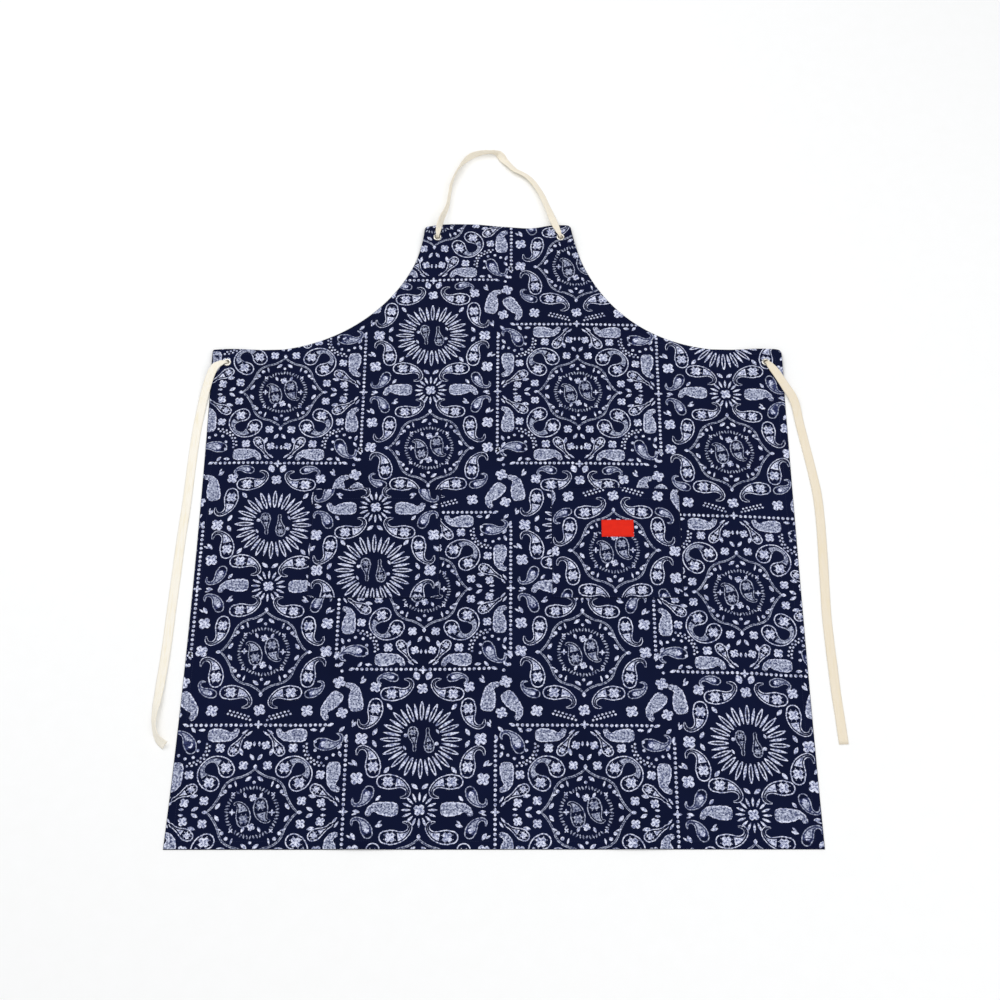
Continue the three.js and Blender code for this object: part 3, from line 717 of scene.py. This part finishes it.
def mottledBlob(size):  # a fat comma with a wavy edge, mottled inside
    spot, across, half = spineRows("blob", size, 2)
    half = half + 0.45 * np.sin(np.arange(len(half)) * 2.1) * (half > 4)
    rim = [spot + across * (half * share)[:, None] for share in (-1, -0.78, 0.78, 1)]
    parts = [(*ladder(rim[:2]), 0), (*ladder(rim[1:3]), 1), (*ladder(rim[2:]), 0)]
    for k in range(4, len(half) - 2):
        for m, share in enumerate((-0.5, 0, 0.5)):
            slip = 0.24 * math.sin(k * 2.4 + m * 1.7)
            seed = roundel(6, 2, 0.3, 2.5 + 1.1 * math.sin(k * 1.3 + m * 2.9), k)
            seat = spot[k] + across[k] * half[k] * (share + slip)
            parts.append((*fan(seat + seed), 0 if (k + 2 * m) % 5 < 2 else 3))
    return parts


def paleBoteh(size):  # a worn line and body on a faint ground, with a white seed
    spot, across, half = spineRows("boteh", size, 2)
    line = pattern["line"] * 0.9
    rings = [spineLoop(spot, across, half, -d) for d in (0, line)]
    ground, body = (
        [spot + across * (np.maximum(half - d, 0.05) * s)[:, None] for s in (-1, 1)] for d in (line, 3.1))
    middle = fan(spot[2] + roundel(12, 4, 0.1, half[2] * 0.95))
    body = [row[3:-5] for row in body]
    return [(*ladder(rings, True), 1), (*ladder(ground), 2), (*middle, 0), (*ladder(body), 1)]


leafForms = {"leaf": (0.5, 6), "sliver": (0.3, 6), "bud": (0.72, 8)}  # width for the length, stations


def drawMotif(kind, size):
    if kind == "dot":
        return [(*fan(roundel(8, 1, 0, size)), 0)]
    if kind == "flower":
        return flower(size)
    if kind == "star":
        return [(*fan(roundel(16, 4, 0.34, size)), 0)]
    if kind in leafForms:
        width, stations = leafForms[kind]
        return [(*leafShape(size, size * width, stations), 0)]
    if kind == "pair":
        small, faces = leafShape(size * 0.7, size * 0.26, 5)
        return [(*leafShape(size, size * 0.5), 0), (moved(small, size * 0.44, size * 0.2, -24), faces, 0)]
    if kind == "blob":
        return mottledBlob(size)
    if kind == "paleBoteh":
        return paleBoteh(size)
    if kind in ("paleDrop", "paleComma"):  # the same in a worn coat
        return [(points, faces, max(slot, 1)) for points, faces, slot in outlined(kind[4:].lower(), size)]
    return outlined(kind, size)


burst = {"petal": 6.4, "hole": 3.0, "holeLength": 0.74, "between": 4, "plain": 3.4, "inset": (2, 4)}


def petalLoop(width, length):
    t = np.linspace(0.03, 0.97, 8)
    half = width / 2 * np.sin(t * math.pi) ** 0.6
    y = (t - 0.5) * length
    return np.vstack([np.c_[-half, y], np.c_[half, y][::-1]])


def sunburst(x, y, inner, outer, petals, hollowOnes):  # leaves, or hollow petals with leaves between them
    parts = []
    count = petals * (2 if hollowOnes else 1)
    for k in range(count):
        angle = 360 / count * k
        hollow = hollowOnes and k % 2 == 0
        low, high = inner, outer
        if hollowOnes and not hollow:  # the leaves between are shorter
            low, high = inner + burst["inset"][0], outer - burst["inset"][1]
        length = high - low
        if hollow:
            points, faces = ladder(
                [petalLoop(burst["petal"], length), petalLoop(burst["hole"], length * burst["holeLength"])], True)
        else:
            points, faces = leafShape(length, burst["between" if hollowOnes else "plain"])
        parts.append((moved(points, *spoke(x, y, (low + high) / 2, angle), angle), faces, 0))
    return parts


# Motif, x, y, turn, size and 1 where it is flipped; a quarter of the square block, repeated by mirrors
squareQuarter = [
    ("leaf", 116, 117, -45, 10), ("leaf", 100, 124, -70, 9), ("leaf", 122, 105, -20, 9),
    ("leaf", 89, 117, -40, 9), ("leaf", 77, 117, -95, 9), ("leaf", 114, 92, -35, 9), ("leaf", 115, 81, 20, 9),
    ("dot", 80, 100, 0, 4.6), ("dot", 80.5, 87.5, 0, 4.6), ("dot", 86, 77.5, 0, 4.6), ("dot", 97, 75.5, 0, 4.6),
    ("dot", 106, 80, 0, 4.6), ("blob", 58.5, 109.5, -90, 0.95, 1), ("blob", 107.5, 60.5, 0, 0.95),
    ("flower", 50, 91, 5, 14), ("flower", 16.5, 66, 5, 13.5), ("flower", 89.5, 52.5, -8, 13.5),
    ("flower", 66, 16, 0, 13.5), ("flower", 12.5, 95, 16, 12.5), ("flower", 92.5, 13, 12, 13),
    ("drop", 31.5, 87.5, -146, 1.26), ("drop", 85, 32, 55, 1.32, 1), ("sliver", 17.5, 114.5, 56, 10),
    ("sliver", 11.5, 112, 50, 10), ("sliver", 114.5, 17.5, 34, 10), ("sliver", 112, 11.5, 40, 10),
    ("leaf", 20.5, 85, -15, 10), ("leaf", 80, 22.5, 75, 10), ("leaf", 3.4, 97, 0, 7), ("leaf", 96, 4, 90, 7),
    ("leaf", 5.5, 78, -35, 10), ("leaf", 77.5, 4.5, 60, 10), ("heart", 1.2, -1.4, 0, 1),
]
# The medallion in the middle of the square block and in the foot of the tall one
medallionQuarter = [
    ("leaf", 8, 47, 52, 10), ("leaf", 47, 8.5, 35, 10), ("dot", 32.5, 36.5, 0, 5.5), ("dot", 38.5, 29, 0, 5.5),
    ("sliver", 25, 40, -15, 9), ("sliver", 43, 24, 70, 8), ("star", 27, 25.5, 45, 7.5), ("leaf", 11, 24, -25, 8),
]
medallionMiddle = [
    ("dot", 0, 42, 0, 4.5), ("dot", 0, -42, 0, 4.5), ("flower", 0, 20.5, 25, 10.5),
    ("flower", 0, -20.5, 25, 10.5), ("star", 27, 0, 0, 9.5), ("star", -27, 0, 0, 9.5),
    ("paleComma", 11.2, 7.5, 4, 0.96), ("paleComma", -11.2, -7.5, 184, 0.96), ("bud", 0, 64, 0, 7),
    ("bud", 0, -64, 0, 7), ("bud", 64, 0, 90, 7), ("bud", -64, 0, 90, 7),
]
medallionEdge = [
    (0, 61), (5.5, 56), (12, 52), (18, 49.4), (24.5, 48), (31.5, 45), (37.5, 40), (41.3, 34), (43.6, 27),
    (46.3, 20), (50.5, 12.5), (55.5, 5.5), (61, 0),
]
medallionLines = ((1.7, 0.4), (-0.3, -1.2))  # outer and inner side of each line round its edge
tick = {"length": 5.6, "width": 2.4, "radius": 34.5, "reach": 37, "count": 11, "tilt": 18}
# Rows of dots along the square block's edges, and in two arcs round the motif in its corner
edgeDots = {"row": 124, "column": 123, "from": 10, "rowEnd": 96, "columnEnd": 104, "pitch": 6.9, "size": 4.7}
arcDots = {"middle": (93, 93.5), "arcs": ((24.6, 172), (28.6, 180)), "end": 274, "pitch": 13, "size": 3.4}
# Right half of the tall block, repeated by a mirror
tallHalf = [
    ("bud", 8.5, 201, -22, 13), ("paleBoteh", 43, 199, 108, 0.62, 1), ("boteh", 43, 174, -90, 1, 1),
    ("flower", 65.5, 184, 10, 16), ("pair", 83, 193, 50, 10), ("blob", 91.5, 157.5, 169, 1, 1),
    ("flower", 110.5, 145, 20, 16.5), ("pair", 93, 128, 35, 9), ("boteh", 64.5, 152, 2, 1),
    ("boteh", 64.5, 67, 178, 1, 1), ("boteh", 43.5, 46.5, -90, 1), ("leaf", 64, 117.5, 30, 11),
    ("leaf", 64, 100.5, -28, 11), ("flower", 82, 107, 5, 18.5), ("flower", 86, 50, -8, 18.5),
    ("pair", 90, 72, -40, 11), ("leaf", 45, 155, -38, 11), ("leaf", 46, 63, 38, 11), ("leaf", 7, 40, -50, 11),
    ("paleBoteh", 70, 29, 20, 0.74), ("paleBoteh", 70, -22, 160, 0.74, 1), ("leaf", 56, 23, 40, 9),
    ("pair", 54, -15, 75, 10), ("pair", 85, 4, -80, 9.5), ("pair", 88, -30, -30, 11),
    ("blob", 38.5, 8, 90, 0.98, 1), ("boteh", 38.5, -31, -90, 0.96, 1), ("flower", 87.5, -50, -10, 18),
    ("flower", 88, -93, 10, 18), ("boteh", 61, -54, 2, 0.98), ("boteh", 64.5, -132, 178, 1, 1),
    ("boteh", 42, -155, -90, 1), ("paleBoteh", 71, -156, 105, 0.66), ("flower", 109, -140, 25, 18),
    ("flower", 66, -182, 10, 17.5), ("blob", 105, -164, -35, 0.98), ("pair", 103, -98, -35, 11),
    ("dot", 104, -114, 0, 5), ("dot", 112, -123, 0, 4.6),
]
tallMiddle = [
    ("flower", 0, 182, 10, 16), ("flower", 0, 7, 10, 16), ("flower", 0, -181, 15, 17),
    ("paleDrop", -11.5, 117.5, 4, 1.24, 1), ("paleDrop", 11.5, 96.5, 184, 1.24, 1), ("dot", 21.5, 101, 0, 5.5),
    ("leaf", 22.5, 119, 30, 7), ("dot", -21.5, 113, 0, 5.5), ("leaf", -22.5, 95, 30, 7),
]
tallDots = ((7, 12, -195.5, 1.5, 3.4), (6, 14.5, -190.2, 1.6, 3.2))  # count, x, y, rise, size
tallPitch = 5.2


def collect(table, mirrors):
    parts = []
    for kind, x, y, turn, size, *flip in table:
        for points, faces, slot in drawMotif(kind, size):
            spot = moved(points, x, y, turn, flip)
            parts += [(spot * mirror, faces, slot) for mirror in mirrors]
    return parts


quarters = [np.array((a, b)) for a in (1, -1) for b in (1, -1)]
halves = [np.array((a, 1)) for a in (1, -1)]
once = [np.ones(2)]


def medallion(x, y):
    parts = collect(medallionQuarter, quarters) + collect(medallionMiddle, once)
    edge = np.array(medallionEdge, float)
    sides = [edge, (edge * (1, -1))[::-1], edge * (-1, -1), (edge * (-1, 1))[::-1]]
    loop = np.vstack([side[:-1] for side in sides])
    for high, low in medallionLines:
        parts.append((*ladder([loop + leftSteps(loop) * high, loop + leftSteps(loop) * low], True), 1))
    leaf, faces = leafShape(tick["length"], tick["width"], 4)
    for k in range(4):
        for a in np.linspace(-tick["reach"], tick["reach"], tick["count"]):
            angle = k * 90 + a
            tilt = tick["tilt"] if round(a) % 2 else -tick["tilt"]
            parts.append((moved(leaf, *spoke(0, 0, tick["radius"], angle), angle + tilt), faces, 1))
    return [(p + (x, y), f, s) for p, f, s in parts]


def squareBlock():
    e, size = edgeDots, edgeDots["size"]
    dots = [("dot", x, e["row"], 0, size) for x in np.arange(e["from"], e["rowEnd"], e["pitch"])]
    dots += [("dot", e["column"], y, 0, size) for y in np.arange(e["from"], e["columnEnd"], e["pitch"])]
    x, y = arcDots["middle"]
    for radius, first in arcDots["arcs"]:
        for a in np.radians(np.arange(first, arcDots["end"], arcDots["pitch"])):
            dots.append(("dot", x + radius * math.cos(a), y + radius * math.sin(a), 0, arcDots["size"]))
    corners = [("paleBoteh", 91, 96, 78, 0.84), ("paleBoteh", -92, 95, 200, 0.84)]
    stars = [("star", x, y, 0, 13) for x, y in ((0, 125), (0, -125), (123, 0), (-123, 0))]
    return (collect(squareQuarter, quarters) + medallion(0, 0) + collect(dots, quarters)
            + collect(corners, [np.ones(2), -np.ones(2)]) + collect(stars, once))


def tallBlock():
    dots = [("dot", x + k * tallPitch, y + k * rise, 0, size) for n, x, y, rise, size in tallDots for k in range(n)]
    return (collect(tallHalf + dots, halves) + collect(tallMiddle, once) + medallion(0, -94)
            + sunburst(0, 107, 27, 57, 16, True) + sunburst(0, 7, 12, 24.5, 16, False))


def joined(parts):  # a part's ink is one number, or a list for its faces
    points, faces, slots, start = [], [], [], 0
    for spot, made, slot in parts:
        points.append(spot)
        faces += [tuple(i + start for i in f) for f in made]
        slots += slot if isinstance(slot, list) else [slot] * len(made)
        start += len(spot)
    return np.vstack(points), faces, slots


def trimmed(points, faces, slots, inside):  # keeps what is inside, cutting the faces that cross the line
    points = list(points)
    inside = list(inside)
    kept, keptSlots, made = [], [], {}
    for face, slot in zip(faces, slots):
        marks = [inside[i] > 0 for i in face]
        if all(marks):
            kept.append(face)
            keptSlots.append(slot)
            continue
        if not any(marks):
            continue
        corner = []
        for a, b in zip(face, face[1:] + face[:1]):
            if inside[a] > 0:
                corner.append(a)
            if (inside[a] > 0) != (inside[b] > 0):
                key = (min(a, b), max(a, b))
                if key not in made:
                    share = inside[a] / (inside[a] - inside[b])
                    made[key] = len(points)
                    points.append(points[a] + (points[b] - points[a]) * share)
                    inside.append(0.0)
                corner.append(made[key])
        if len(corner) > 2:
            kept.append(tuple(corner))
            keptSlots.append(slot)
    used = sorted({i for f in kept for i in f})
    order = {old: new for new, old in enumerate(used)}
    return np.array([points[i] for i in used]), [tuple(order[i] for i in f) for f in kept], keptSlots


blocks = {"square": joined(squareBlock()), "tall": joined(tallBlock())}
blockReach = {"square": (135, 135), "tall": (135, 222)}  # to each side, up and down
sag = {"from": 100, "span": 300, "drop": 9.4, "power": 1.5}


def offGrain(points):  # towards its right side the cloth was printed a little low
    share = np.clip((points[:, 0] - sag["from"]) / sag["span"], 0, None)
    return np.c_[points[:, 0], points[:, 1] - sag["drop"] * share ** sag["power"]]


def layPrint(places, low, high):  # copies of both blocks that reach the given box
    parts = []
    for block, x, y, turn in places:
        points, faces, slots = blocks[block]
        wide, tall = blockReach[block]
        if x + wide >= low[0] and x - wide <= high[0] and y + tall >= low[1] and y - tall <= high[1]:
            parts.append((moved(points, x, y, turn), faces, slots))
    return joined(parts)


def makePrint(name, places, low, high, insideOf, heightOf, pulled=False):
    points, faces, slots = layPrint(places, low, high)
    if pulled:
        points = offGrain(points)
    points, faces, slots = trimmed(points, faces, slots, insideOf(points))
    rise = np.zeros(len(points))
    for f, slot in zip(faces, slots):
        rise[list(f)] = ink["rise"][slot]
    fine = np.c_[points, heightOf(points) + rise]
    for k, f in enumerate(faces):  # every face looks up
        a, b, c = fine[f[0]], fine[f[1]], fine[f[2]]
        if (b[0] - a[0]) * (c[1] - a[1]) - (b[1] - a[1]) * (c[0] - a[0]) < 0:
            faces[k] = tuple(reversed(f))
    piece = addPiece(name, fine, faces, inks, [2 if slot == 3 else slot for slot in slots], flatMap=True)
    print(name, len(faces), "faces")
    return piece


def panelRoom(p):
    room = edgeDistance(p) - pattern["margin"]
    for ex, ey in eyelets.values():
        room = np.minimum(room, np.hypot(p[:, 0] - ex, p[:, 1] - ey) - ring["barrel"] - pattern["eyeletRoom"])
    return room


def pocketRoom(p):
    return np.minimum(*pocketEdges(p[:, 0], p[:, 1])) - pattern["margin"]


places = []
for column in range(-2, 3):
    for row in range(-1, 3):
        steps = row + column % 2 / 2
        for block in ("square", "tall"):
            x, y = pattern[block + "At"]
            y = y + steps * pattern["drop"] - pattern["drop"]
            places.append((block, x + column * pattern["column"], y, 0))
half = panel["hemHalf"]
panelPrint = makePrint(
    "print_panel", places, (-half, 0), (half, panel["length"]), panelRoom, panelHeight, pulled=True)
for name, side, place in (("left", -1, ("tall", -177, 518.1, 180)), ("right", 1, ("tall", 172.5, 348.6, 180))):
    a, b = sorted((side * pocket["inner"], side * pocket["outer"]))
    makePrint(
        "print_pocket_" + name, [place], (a, pocket["bottom"]), (b, pocket["mouth"]), pocketRoom, pocketHeight)

# Thread: spun polyester, machine sewn, which gives short matt dashes a little lighter than the cloth
thread = {
    "navy": ("#141b3a", "#252d52"), "red": ("#c01a0c", "#ee3a22"), "roughness": 0.7, "glintSpots": 700.0,  # to the metre
    "pitch": 3.4, "length": 2.7, "half": 0.3, "crest": 0.35, "edge": 0.1, "stations": (0, 0.2, 0.8, 1),
    "inset": 2, "slack": 0.2, "mouthInset": 1.5,
}
threads = {}
for kind in ("navy", "red"):
    threads[kind], tree, shader = startMaterial(
        "polyester_thread_" + kind, thread["roughness"], Specular_IOR_Level=0.2)
    # Painted highlight: the brighter colour stands for glints on the thread, spread at random by the noise
    cloud = addNode(tree, "ShaderNodeTexNoise", {"Scale": thread["glintSpots"], "Detail": 2.0})
    dull, bright = (linear(code) for code in thread[kind])
    tone = addNode(tree, "ShaderNodeMix", {0: cloud.outputs["Fac"], 6: dull, 7: bright}, data_type="RGBA")
    finishMaterial(tree, shader, tone.outputs[2])


def sew(name, lines, heightOf, kind):  # a dash of thread for every stitch along the lines
    crest, edge = thread["crest"], thread["edge"]
    points, faces = [], []
    for line in lines:
        run = runAlong(line)
        for start in np.arange(thread["pitch"] / 2, run[-1] - thread["length"], thread["pitch"]):
            at = start + thread["length"] * np.array(thread["stations"])
            spot = np.c_[np.interp(at, run, line[:, 0]), np.interp(at, run, line[:, 1])]
            way = (spot[3] - spot[0]) / np.linalg.norm(spot[3] - spot[0])
            off = np.array((way[1], -way[0])) * thread["half"]
            z = heightOf(spot)
            first = len(points)
            points.append((*spot[0], z[0]))
            for k in (1, 2):
                for step, rise in ((off, edge), (0, crest), (-off, edge), (0, -edge)):
                    points.append((*(spot[k] + step), z[k] + rise))
            points.append((*spot[3], z[3]))
            for k in range(4):
                a, b = first + 1 + k, first + 1 + (k + 1) % 4
                faces += [(first, b, a), (a, b, b + 4, a + 4), (a + 4, b + 4, first + 9)]
    piece = addPiece(name, points, faces, [threads[kind]])
    print(name, len(faces), "faces")
    return piece


inset = thread["inset"]
hemRow = cut + leftSteps(cut) * (panel["hem"] - inset)
hemRow = hemRow[edgeDistance(hemRow) > panel["hem"] - inset - thread["slack"]]
panelStitches = sew("stitches_hem", [np.vstack([hemRow, hemRow[:1]])], panelHeight, "navy")
for side, name in ((-1, "stitches_pocket_left"), (1, "stitches_pocket_right")):
    a, b = side * (pocket["inner"] + inset), side * (pocket["outer"] - inset)
    low, high = pocket["bottom"] + inset, pocket["mouth"] - thread["mouthInset"]
    hem = pocket["mouth"] - pocket["mouthHem"] + inset
    seam = [(a, high), (a, low), (b, low), (b, high)]
    seam = np.vstack([bend(ends, 40) for ends in zip(seam, seam[1:])] + [seam[-1:]])
    mouth = bend([(a, hem), (b, hem)], 40)
    sew(name, [seam, mouth], pocketHeight, "navy")

# Label: red polyester, damask woven, which gives a plain fine satin cloth with a folded edge
label = {
    "x": 178, "y": 477.2, "width": 47, "height": 27, "gap": 0.3, "wall": 0.7, "edgeRound": 0.9, "thinEdge": 0.4,
    "step": 1.0, "edgeRows": (0.25, 0.9), "seam": 1.8, "red": "#f12a12", "deep": "#d41c0a", "roughness": 0.6,
    "rib": 0.9, "ribShade": 0.2, "clouds": 120.0,  # rib in mm, clouds to the metre
    "relief": 0.3, "reliefDepth": 0.0003,
}
labelCloth, tree, shader = startMaterial("polyester_label_damask", label["roughness"], Specular_IOR_Level=0.15)
where = addNode(tree, "ShaderNodeTexCoord")
axes = addNode(tree, "ShaderNodeSeparateXYZ", {0: where.outputs["Object"]})
ribTurn = math.tau / (label["rib"] * mm)
phase = addNode(tree, "ShaderNodeMath", {0: axes.outputs["Y"], 1: ribTurn}, operation="MULTIPLY")
ribs = addNode(tree, "ShaderNodeMath", {0: phase.outputs[0]}, operation="SINE")
spot = where.outputs["Object"]
cloud = addNode(tree, "ShaderNodeTexNoise", {"Vector": spot, "Scale": label["clouds"], "Detail": 3.0})
# Painted shade: the ribs' hollows lean to the deep red and their crests to the bright red, and the clouds shift the
# tone at random
depth = addNode(tree, "ShaderNodeMath", {0: ribs.outputs[0], 1: label["ribShade"], 2: cloud.outputs["Fac"]},
                operation="MULTIPLY_ADD")
tone = addNode(tree, "ShaderNodeMix", {0: depth.outputs[0], 6: linear(label["deep"]), 7: linear(label["red"])},
               data_type="RGBA")
bump = addNode(tree, "ShaderNodeBump", {
    "Strength": label["relief"], "Distance": label["reliefDepth"], "Height": ribs.outputs[0]})
finishMaterial(tree, shader, tone.outputs[2], bump.outputs["Normal"])


def labelLow(x, y):
    return pocketTop(x, y) + label["gap"]


def labelTop(x, y):
    inside = np.minimum(label["width"] / 2 - np.abs(x - label["x"]), label["height"] / 2 - np.abs(y - label["y"]))
    return labelLow(x, y) + label["wall"] * roundedEdge(inside, label["edgeRound"], label["thinEdge"])


def labelHeight(p):
    return labelTop(p[:, 0], p[:, 1])


wide, high = label["width"] / 2, label["height"] / 2
x, y, faces = gridSheet(
    label["x"] + spread(-wide, wide, label["step"], label["edgeRows"]),
    label["y"] + spread(-high, high, label["step"], label["edgeRows"]))
top, low = np.c_[x, y, labelTop(x, y)], np.c_[x, y, labelLow(x, y)]
labelPiece = closeSheet("label_woven", top, low, faces, [labelCloth])
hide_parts("pocket_label")
wide, high = wide - label["seam"], high - label["seam"]
corners = [(label["x"] + a * wide, label["y"] + b * high) for a, b in ((-1, -1), (1, -1), (1, 1), (-1, 1))]
seam = np.vstack([bend(ends, 12) for ends in zip(corners, corners[1:] + corners[:1])])
labelStitches = sew("stitches_label", [seam], labelHeight, "red")

# Eyelets: brass, pressed and nickel plated, which gives a bright warm grey with fine wear
metal = {"bright": "#e9e6df", "dull": "#c3beb4", "roughness": 0.26, "wear": 0.12, "scuffs": 900.0}  # to the metre
nickel, tree, shader = startMaterial("brass_pressed_nickel_plated", metal["roughness"], Metallic=1.0)
scuff = addNode(tree, "ShaderNodeTexNoise", {"Scale": metal["scuffs"], "Detail": 4.0}).outputs["Fac"]
tone = addNode(tree, "ShaderNodeMix", {0: scuff, 6: linear(metal["dull"]), 7: linear(metal["bright"])},
               data_type="RGBA")
smoothest = metal["roughness"] - metal["wear"] / 2
worn = addNode(tree, "ShaderNodeMath", {0: scuff, 1: metal["wear"], 2: smoothest}, operation="MULTIPLY_ADD")
finishMaterial(tree, shader, tone.outputs[2])
tree.links.new(worn.outputs[0], shader.inputs["Roughness"])


def makeEyelet(name, place):
    face = panel["wall"] + ring["seat"]
    under = -ring["gap"] - ring["backRise"]
    middle, half = (ring["front"] + ring["bore"]) / 2, (ring["front"] - ring["bore"]) / 2
    turn = np.linspace(0, math.pi, ring["domeRows"])
    section = [(middle + half * math.cos(a), face + ring["frontRise"] * math.sin(a)) for a in turn] + [
        (ring["bore"], under), (ring["back"], under), (ring["back"], -ring["gap"]),
        (ring["barrel"], -ring["gap"]), (ring["barrel"], face),
    ]
    a = np.linspace(0, math.tau, ring["sides"], endpoint=False)
    rows = []
    for r, z in section:
        rows.append(np.c_[place[0] + r * np.cos(a), place[1] + r * np.sin(a), np.full(len(a), patch["height"] + z)])
    points, faces = ladder(rows + rows[:1], True)
    count = len(rows) * len(a)
    faces = [tuple(i % count for i in f) for f in faces]
    piece = addPiece("ring_" + name, points[:count], faces, [nickel], cutOut=False)
    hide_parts("eyelet_" + name)


def makeKnot(name, place):  # the tape's end, tied flat behind the eyelet
    t = np.linspace(0, math.tau, knot["stations"], endpoint=False)
    line = np.c_[
        place[0] + (np.sin(t) + 2 * np.sin(2 * t)) / 3 * knot["spanX"],
        place[1] + (np.cos(t) - 2 * np.cos(2 * t)) / 3 * knot["spanY"],
        knot["height"] / 2 - np.sin(3 * t)]
    along = np.roll(line, -1, axis=0) - np.roll(line, 1, axis=0)
    level = np.c_[along[:, 1], -along[:, 0]] / np.linalg.norm(along[:, :2], axis=1)[:, None]
    a = np.linspace(0, math.tau, knot["sides"], endpoint=False)
    loops = np.repeat(line[:, None], len(a), 1)
    loops[..., :2] += level[:, None] * (np.cos(a) * knot["strandHalf"])[None, :, None]
    loops[..., 2] += np.sin(a)[None, :] * knot["strandRise"]
    rows, n = len(t), len(a)
    faces = []
    for s in range(rows):
        here, there = s * n, (s + 1) % rows * n
        faces += [(here + k, there + k, there + (k + 1) % n, here + (k + 1) % n) for k in range(n)]
    piece = addPiece("tied_" + name, loops.reshape(-1, 3), faces, [tapeCotton], cutOut=False)
    across = np.arange(n) / n * tape["width"]
    mapTape(piece, np.stack(np.meshgrid(across, runAlong(line)), -1).reshape(-1, 2) * mm)
    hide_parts("knot_" + name)


for name, (ex, ey) in eyelets.items():
    place = laidDown([(ex, ey)])[0]
    makeEyelet(name, place)
    makeKnot(name, place)
print("eyelets and knots")

# Floor: wood pulp paper, bleached and rolled out, which gives a matt pale ground with a faint mottle
stage = {
    "paper": "#fefefd", "fibre": "#fbfbf9", "roughness": 0.9, "mottle": 25, "half": 14.0, "below": 0.0002,
    "lamps": [("key", (-1.3, 1.4, 2.9), 2.4, 46), ("fill", (1.7, -1.2, 2.6), 2.6, 29)],  # place, metres, watts
    "sky": "#fbfcff", "skyStrength": 0.61,
}
paper, tree, shader = startMaterial("pulp_paper_rolled", stage["roughness"])
spot = addNode(tree, "ShaderNodeTexCoord").outputs["Object"]
cloud = addNode(tree, "ShaderNodeTexNoise", {"Vector": spot, "Scale": 1 / (stage["mottle"] * mm), "Detail": 3.0})
fibre, white = linear(stage["fibre"]), linear(stage["paper"])
tone = addNode(tree, "ShaderNodeMix", {0: cloud.outputs["Fac"], 6: fibre, 7: white}, data_type="RGBA")
finishMaterial(tree, shader, tone.outputs[2])
h, z = stage["half"], -stage["below"]
floorMesh = bpy.data.meshes.new("floor")
floorMesh.from_pydata([(-h, -h, z), (h, -h, z), (h, h, z), (-h, h, z)], [], [(0, 1, 2, 3)])
floorMesh.materials.append(paper)
floor = bpy.data.objects.new("floor", floorMesh)
bpy.context.scene.collection.objects.link(floor)
for name, spot, size, power in stage["lamps"]:
    data = bpy.data.lights.new(name, "AREA")
    data.shape = "SQUARE"
    data.size = size
    data.energy = power
    lamp = bpy.data.objects.new(name, data)
    lamp.location = spot
    lamp.rotation_euler = (-Vector(spot)).to_track_quat("-Z", "Y").to_euler()
    bpy.context.scene.collection.objects.link(lamp)
world = bpy.data.worlds.new("studio")
world.use_nodes = True
sky = world.node_tree.nodes["Background"]
sky.inputs["Color"].default_value = linear(stage["sky"])
sky.inputs["Strength"].default_value = stage["skyStrength"]
bpy.context.scene.world = world
bpy.context.scene.view_settings.view_transform = "Standard"
print("floor and light")
